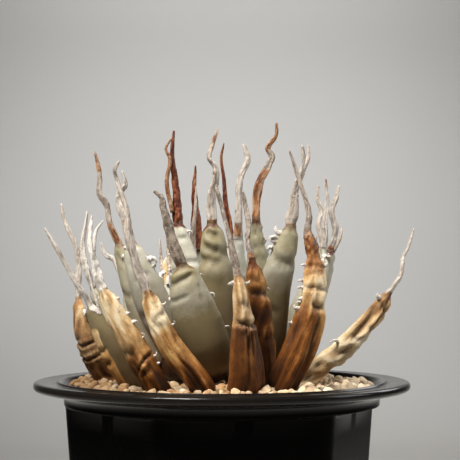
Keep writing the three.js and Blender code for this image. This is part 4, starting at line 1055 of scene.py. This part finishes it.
def leaf_material(name):
    """Green skin with a pale bloom, dried skin, and horn, laid over each other by the point attributes."""
    m = Finish(name)
    dry, crease_shade, horny = (m.attribute(key) for key in ("dry", "crease_shade", "horn"))
    place = m.attribute("place", "Vector")
    broad = m.noise(place, 0.09, 3)
    patches = m.noise(place, 0.32, 5, 0.6)
    fine = m.noise(place, 1.7, 6, 0.65)
    lengthwise = m.noise(m.stretch(place, 0.55, 0.09, 0.55), 1, 4, 0.55, 0.5)
    threads = m.noise(m.stretch(place, 2.2, 0.2, 2.2), 1, 3, 0.5)
    uneven = m.math("SUBTRACT", patches, 0.5)
    # Painted shade in the valleys and painted light on the ridges of the relief
    valley = m.math("SUBTRACT", 0.5, m.attribute("ridge"))

    # Green skin: sage, paler with bloom where it is young, with painted shade in the creases, and dirt and
    # painted shade at the foot
    bloom = m.math("MULTIPLY_ADD", uneven, 0.5, m.attribute("tone"))
    green = m.mix(bloom, colour(132, 123, 91), colour(213, 212, 201))
    green = m.stain(green, m.rise(broad, 0.42, 0.62), 0.35, 158, 146, 112)
    green = m.stain(green, m.rise(fine, 0.6, 0.7), 0.3, 104, 90, 62)
    # Painted shade in the creases
    green = m.stain(green, crease_shade, 0.45, 72, 60, 34)
    # Dirt and painted shade at the foot, in dark brown
    green = m.stain(green, m.attribute("dirt"), 0.85, 92, 68, 41)

    # Dried skin: cream to ochre, with painted shade in its valleys and creases and painted light on its
    # ridges, and darker towards the foot, partly as dried colour and partly as painted shade
    shade = m.math("SUBTRACT", m.attribute("shade"), 0.39)
    streak_and_shading = m.sum((lengthwise, 0.22), (broad, 0.3), (valley, 0.3), (patches, 0.25), (shade, 0.62))
    dried = m.ramp(streak_and_shading, (0.2, 238, 216, 176), (0.33, 222, 182, 124), (0.45, 190, 138, 78),
                   (0.57, 134, 79, 26), (0.7, 92, 50, 13), (0.92, 44, 22, 7))
    drab = m.ramp(streak_and_shading, (0.2, 222, 210, 186), (0.45, 158, 138, 108), (0.7, 80, 62, 46))
    dried = m.mix(m.attribute("drab"), dried, drab)
    dried = m.stain(dried, m.rise(threads, 0.6, 0.72), 0.2, 96, 58, 30)
    # Painted shade in the creases
    dried = m.stain(dried, crease_shade, 0.85, 40, 22, 10)
    dried = m.stain(dried, m.rise(m.noise(place, 0.9, 2, 0.4), 0.68, 0.72), 0.5, 70, 38, 20)

    # Horn of the spines and teeth: ivory, grey, tan or red-brown, with painted shade in its valleys and
    # painted light on its flakes
    wear_and_shading = m.sum((lengthwise, 0.5), (fine, 0.3), (valley, 0.2))
    worn = m.ramp(wear_and_shading, (0.28, 208, 196, 182), (0.42, 176, 162, 148), (0.54, 134, 118, 102),
                  (0.68, 84, 68, 54))
    white = m.ramp(wear_and_shading, (0.3, 240, 237, 231), (0.48, 222, 215, 206), (0.66, 156, 142, 126))
    weathered = m.ramp(wear_and_shading, (0.3, 144, 131, 117), (0.44, 102, 89, 77), (0.58, 60, 48, 39))
    weathered = m.stain(weathered, m.rise(patches, 0.56, 0.62), 0.6, 188, 177, 168)
    horn = m.mix(m.attribute("grey"), m.mix(m.attribute("pale"), worn, white), weathered)
    tan = m.ramp(wear_and_shading, (0.3, 178, 138, 102), (0.43, 126, 82, 52), (0.55, 66, 38, 24))
    red = m.ramp(wear_and_shading, (0.28, 152, 88, 50), (0.42, 94, 42, 24), (0.56, 42, 16, 11))
    brownness = m.math("MULTIPLY_ADD", uneven, 0.6, m.attribute("brown"))
    horn = m.mix(m.rise(brownness, 0.34, 0.46), horn, tan)
    horn = m.mix(m.rise(brownness, 0.66, 0.86), horn, red)
    # Painted shade in the creases and between the spine's knobs
    horn = m.stain(horn, crease_shade, 0.45, 62, 44, 32)

    # The blade's skin, with a dark band below its horn and a burnt end
    dry_edge = m.math("MULTIPLY_ADD", uneven, 0.6, dry)
    blade = m.mix(m.rise(dry_edge, 0.35, 0.6), green, dried)
    blade = m.stain(blade, m.attribute("band"), 1.3, 80, 38, 20)
    blade = m.mix(m.attribute("tip"), blade, m.ramp(streak_and_shading, (0.3, 170, 104, 52), (0.6, 76, 38, 18)))
    m.surface(Base_Color=m.mix(horny, blade, horn), Roughness=m.math("MULTIPLY_ADD", patches, 0.3, 0.34),
              Specular_IOR_Level=0.28, Subsurface_Weight=0.06, Subsurface_Radius=(1.0, 0.6, 0.3),
              Subsurface_Scale=0.002)
    rough = m.math("MAXIMUM", dry, horny)
    m.bump(m.sum((fine, 0.42), (lengthwise, dry), (patches, horny), (threads, rough)), 0.6, 0.0007)
    return m.material


def pot_material():
    """Black moulded plastic with a soft shine, a little dust and fine scratches, and a painted glint on the
    rim.
    """
    m = Finish("black_plastic")
    place = m.position()
    smear = m.noise(place, 35, 4)
    dusty = m.math("MULTIPLY", m.rise(m.noise(place, 420, 5, 0.7), 0.6, 0.75), m.rise(smear, 0.4, 0.7))
    fine = m.noise(m.stretch(place, 1, 1, 6), 260, 3)
    # The rim above 111 mm: a paler base colour, which is a painted glint, and a higher IOR
    rim_glint = m.math("MULTIPLY", m.math("SUBTRACT", m.part(place, "Z"), 0.111), 250, clamp=True)
    black = m.mix(rim_glint, colour(9, 8, 8), colour(22, 19, 17))
    m.surface(Base_Color=m.stain(black, dusty, 0.12, 110, 102, 94), Specular_IOR_Level=0.18,
              Roughness=m.math("MULTIPLY_ADD", smear, 0.12, 0.12), IOR=m.math("MULTIPLY_ADD", rim_glint, 0.35, 1.1))
    m.bump(m.sum((smear, 0.8), (fine, 1)), 0.12, 0.0004)
    return m.material


def gravel_material():
    """Cream, tan, white and rust grains, with dark soil below."""
    m = Finish("gravel_stone")
    place = m.position()
    tint = m.attribute("tint")
    grain = m.noise(place, 900, 5, 0.65)
    patch = m.noise(place, 260, 3)
    stones = m.ramp(tint, (0, 132, 104, 74), (0.16, 190, 160, 120), (0.3, 212, 186, 148),
                    (0.45, 198, 166, 122), (0.6, 222, 208, 184), (0.75, 182, 146, 104), (0.95, 156, 114, 76))
    stones = m.mix(m.ramp(grain, (0.48, 0), (0.72, 0.6)), stones, colour(126, 96, 66))
    stones = m.mix(m.ramp(patch, (0.5, 0), (0.8, 0.35)), stones, colour(240, 228, 206))
    # Painted shade on the viewer's left and painted light on the right
    across = m.math("MULTIPLY_ADD", m.part(place, "X"), 10, 0.5)
    stones = m.mix(m.ramp(across, (0, 0.8), (0.45, 0)), stones, colour(110, 82, 52))
    stones = m.mix(m.ramp(across, (0.55, 0), (1, 0.4)), stones, colour(246, 232, 206))
    soil = m.ramp(grain, (0.3, 40, 28, 20), (0.7, 86, 66, 48))
    under = m.ramp(m.math("ADD", tint, 1), (0.7, 1), (0.8, 0))
    m.surface(Base_Color=m.mix(under, stones, soil), Roughness=0.92, Specular_IOR_Level=0.3)
    m.bump(grain, 0.7, 0.0005)
    return m.material


def stem_material():
    """Woody stem with flaking brown skin."""
    m = Finish("stem_wood")
    bark = m.noise(m.stretch(m.position(), 1, 1, 0.3), 320, 6, 0.65)
    m.surface(Base_Color=m.ramp(bark, (0.3, 46, 30, 20), (0.55, 104, 74, 48), (0.75, 150, 116, 80)),
              Roughness=0.9)
    m.bump(bark, 0.8, 0.001)
    return m.material


def floor_material():
    """A pale matt surface with faint clouds."""
    m = Finish("pale_floor")
    pale = colour(214, 212, 208)
    cloudy = (*(value * 0.97 for value in pale[:3]), 1.0)
    m.surface(Base_Color=m.mix(m.noise(m.position(), 3, 2), pale, cloudy), Roughness=0.8,
              Specular_IOR_Level=0.2)
    return m.material


# The setting

def make_floor(material):
    """A pale floor that sweeps up into a backdrop."""
    profile = [(FLOOR_FRONT, 0.0), (SWEEP_START, 0.0)]
    for a in np.linspace(0.05, math.pi / 2, 24):
        profile.append((SWEEP_START + SWEEP_RADIUS * math.sin(a), SWEEP_RADIUS - SWEEP_RADIUS * math.cos(a)))
    profile += [(SWEEP_START + SWEEP_RADIUS, BACKDROP_HEIGHT)]
    edges = (-FLOOR_HALF_WIDTH / MM, FLOOR_HALF_WIDTH / MM)
    points = [(x, y / MM, z / MM) for y, z in profile for x in edges]
    faces = [(2 * i, 2 * i + 1, 2 * i + 3, 2 * i + 2) for i in range(len(profile) - 1)]
    floor = new_object("floor", points, faces)
    floor.data.materials.append(material)


def make_light():
    """The lamps, and a faint light from all round."""
    world = bpy.data.worlds.new("studio")
    world.use_nodes = True
    background = world.node_tree.nodes["Background"]
    background.inputs["Color"].default_value = (0.9, 0.93, 1.0, 1.0)
    background.inputs["Strength"].default_value = 0.06
    bpy.context.scene.world = world
    for name, place, aim, size, power, tint, spread in LAMPS:
        light = bpy.data.lights.new(name, "AREA")
        light.shape = "RECTANGLE"
        light.size, light.size_y = size
        light.energy = power
        light.color = tint
        light.spread = math.radians(spread)
        lamp = bpy.data.objects.new(name, light)
        lamp.location = place
        lamp.rotation_euler = (Vector(aim) - Vector(place)).to_track_quat("-Z", "Y").to_euler()
        bpy.context.scene.collection.objects.link(lamp)


def make_camera():
    """The photograph's view, with plain screen colours."""
    camera = bpy.data.cameras.new("camera")
    camera.sensor_width = SENSOR_WIDTH
    camera.lens = FOCAL_PIXELS * SENSOR_WIDTH / IMAGE_SIZE
    holder = bpy.data.objects.new("camera", camera)
    holder.location = (CAMERA_X * MM, -CAMERA_DISTANCE * MM, (POT_HEIGHT + CAMERA_ABOVE_RIM) * MM)
    holder.rotation_euler = (math.radians(90 + CAMERA_PITCH), 0.0, 0.0)
    bpy.context.scene.collection.objects.link(holder)
    bpy.context.scene.camera = holder
    bpy.context.scene.view_settings.view_transform = "Standard"


leaf_skins = {slot: leaf_material(f"{slot}_skin") for slot in ("green_leaf", "dried_leaf", "bud")}
make_pot(pot_material())
make_gravel(gravel_material())
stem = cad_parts["stem"]
stem.data.materials.clear()
stem.data.materials.append(stem_material())
for number, row in enumerate(LEAVES):
    make_leaf(row, number, leaf_skins[SLOTS[row["kind"]]])
make_floor(floor_material())
make_light()
make_camera()
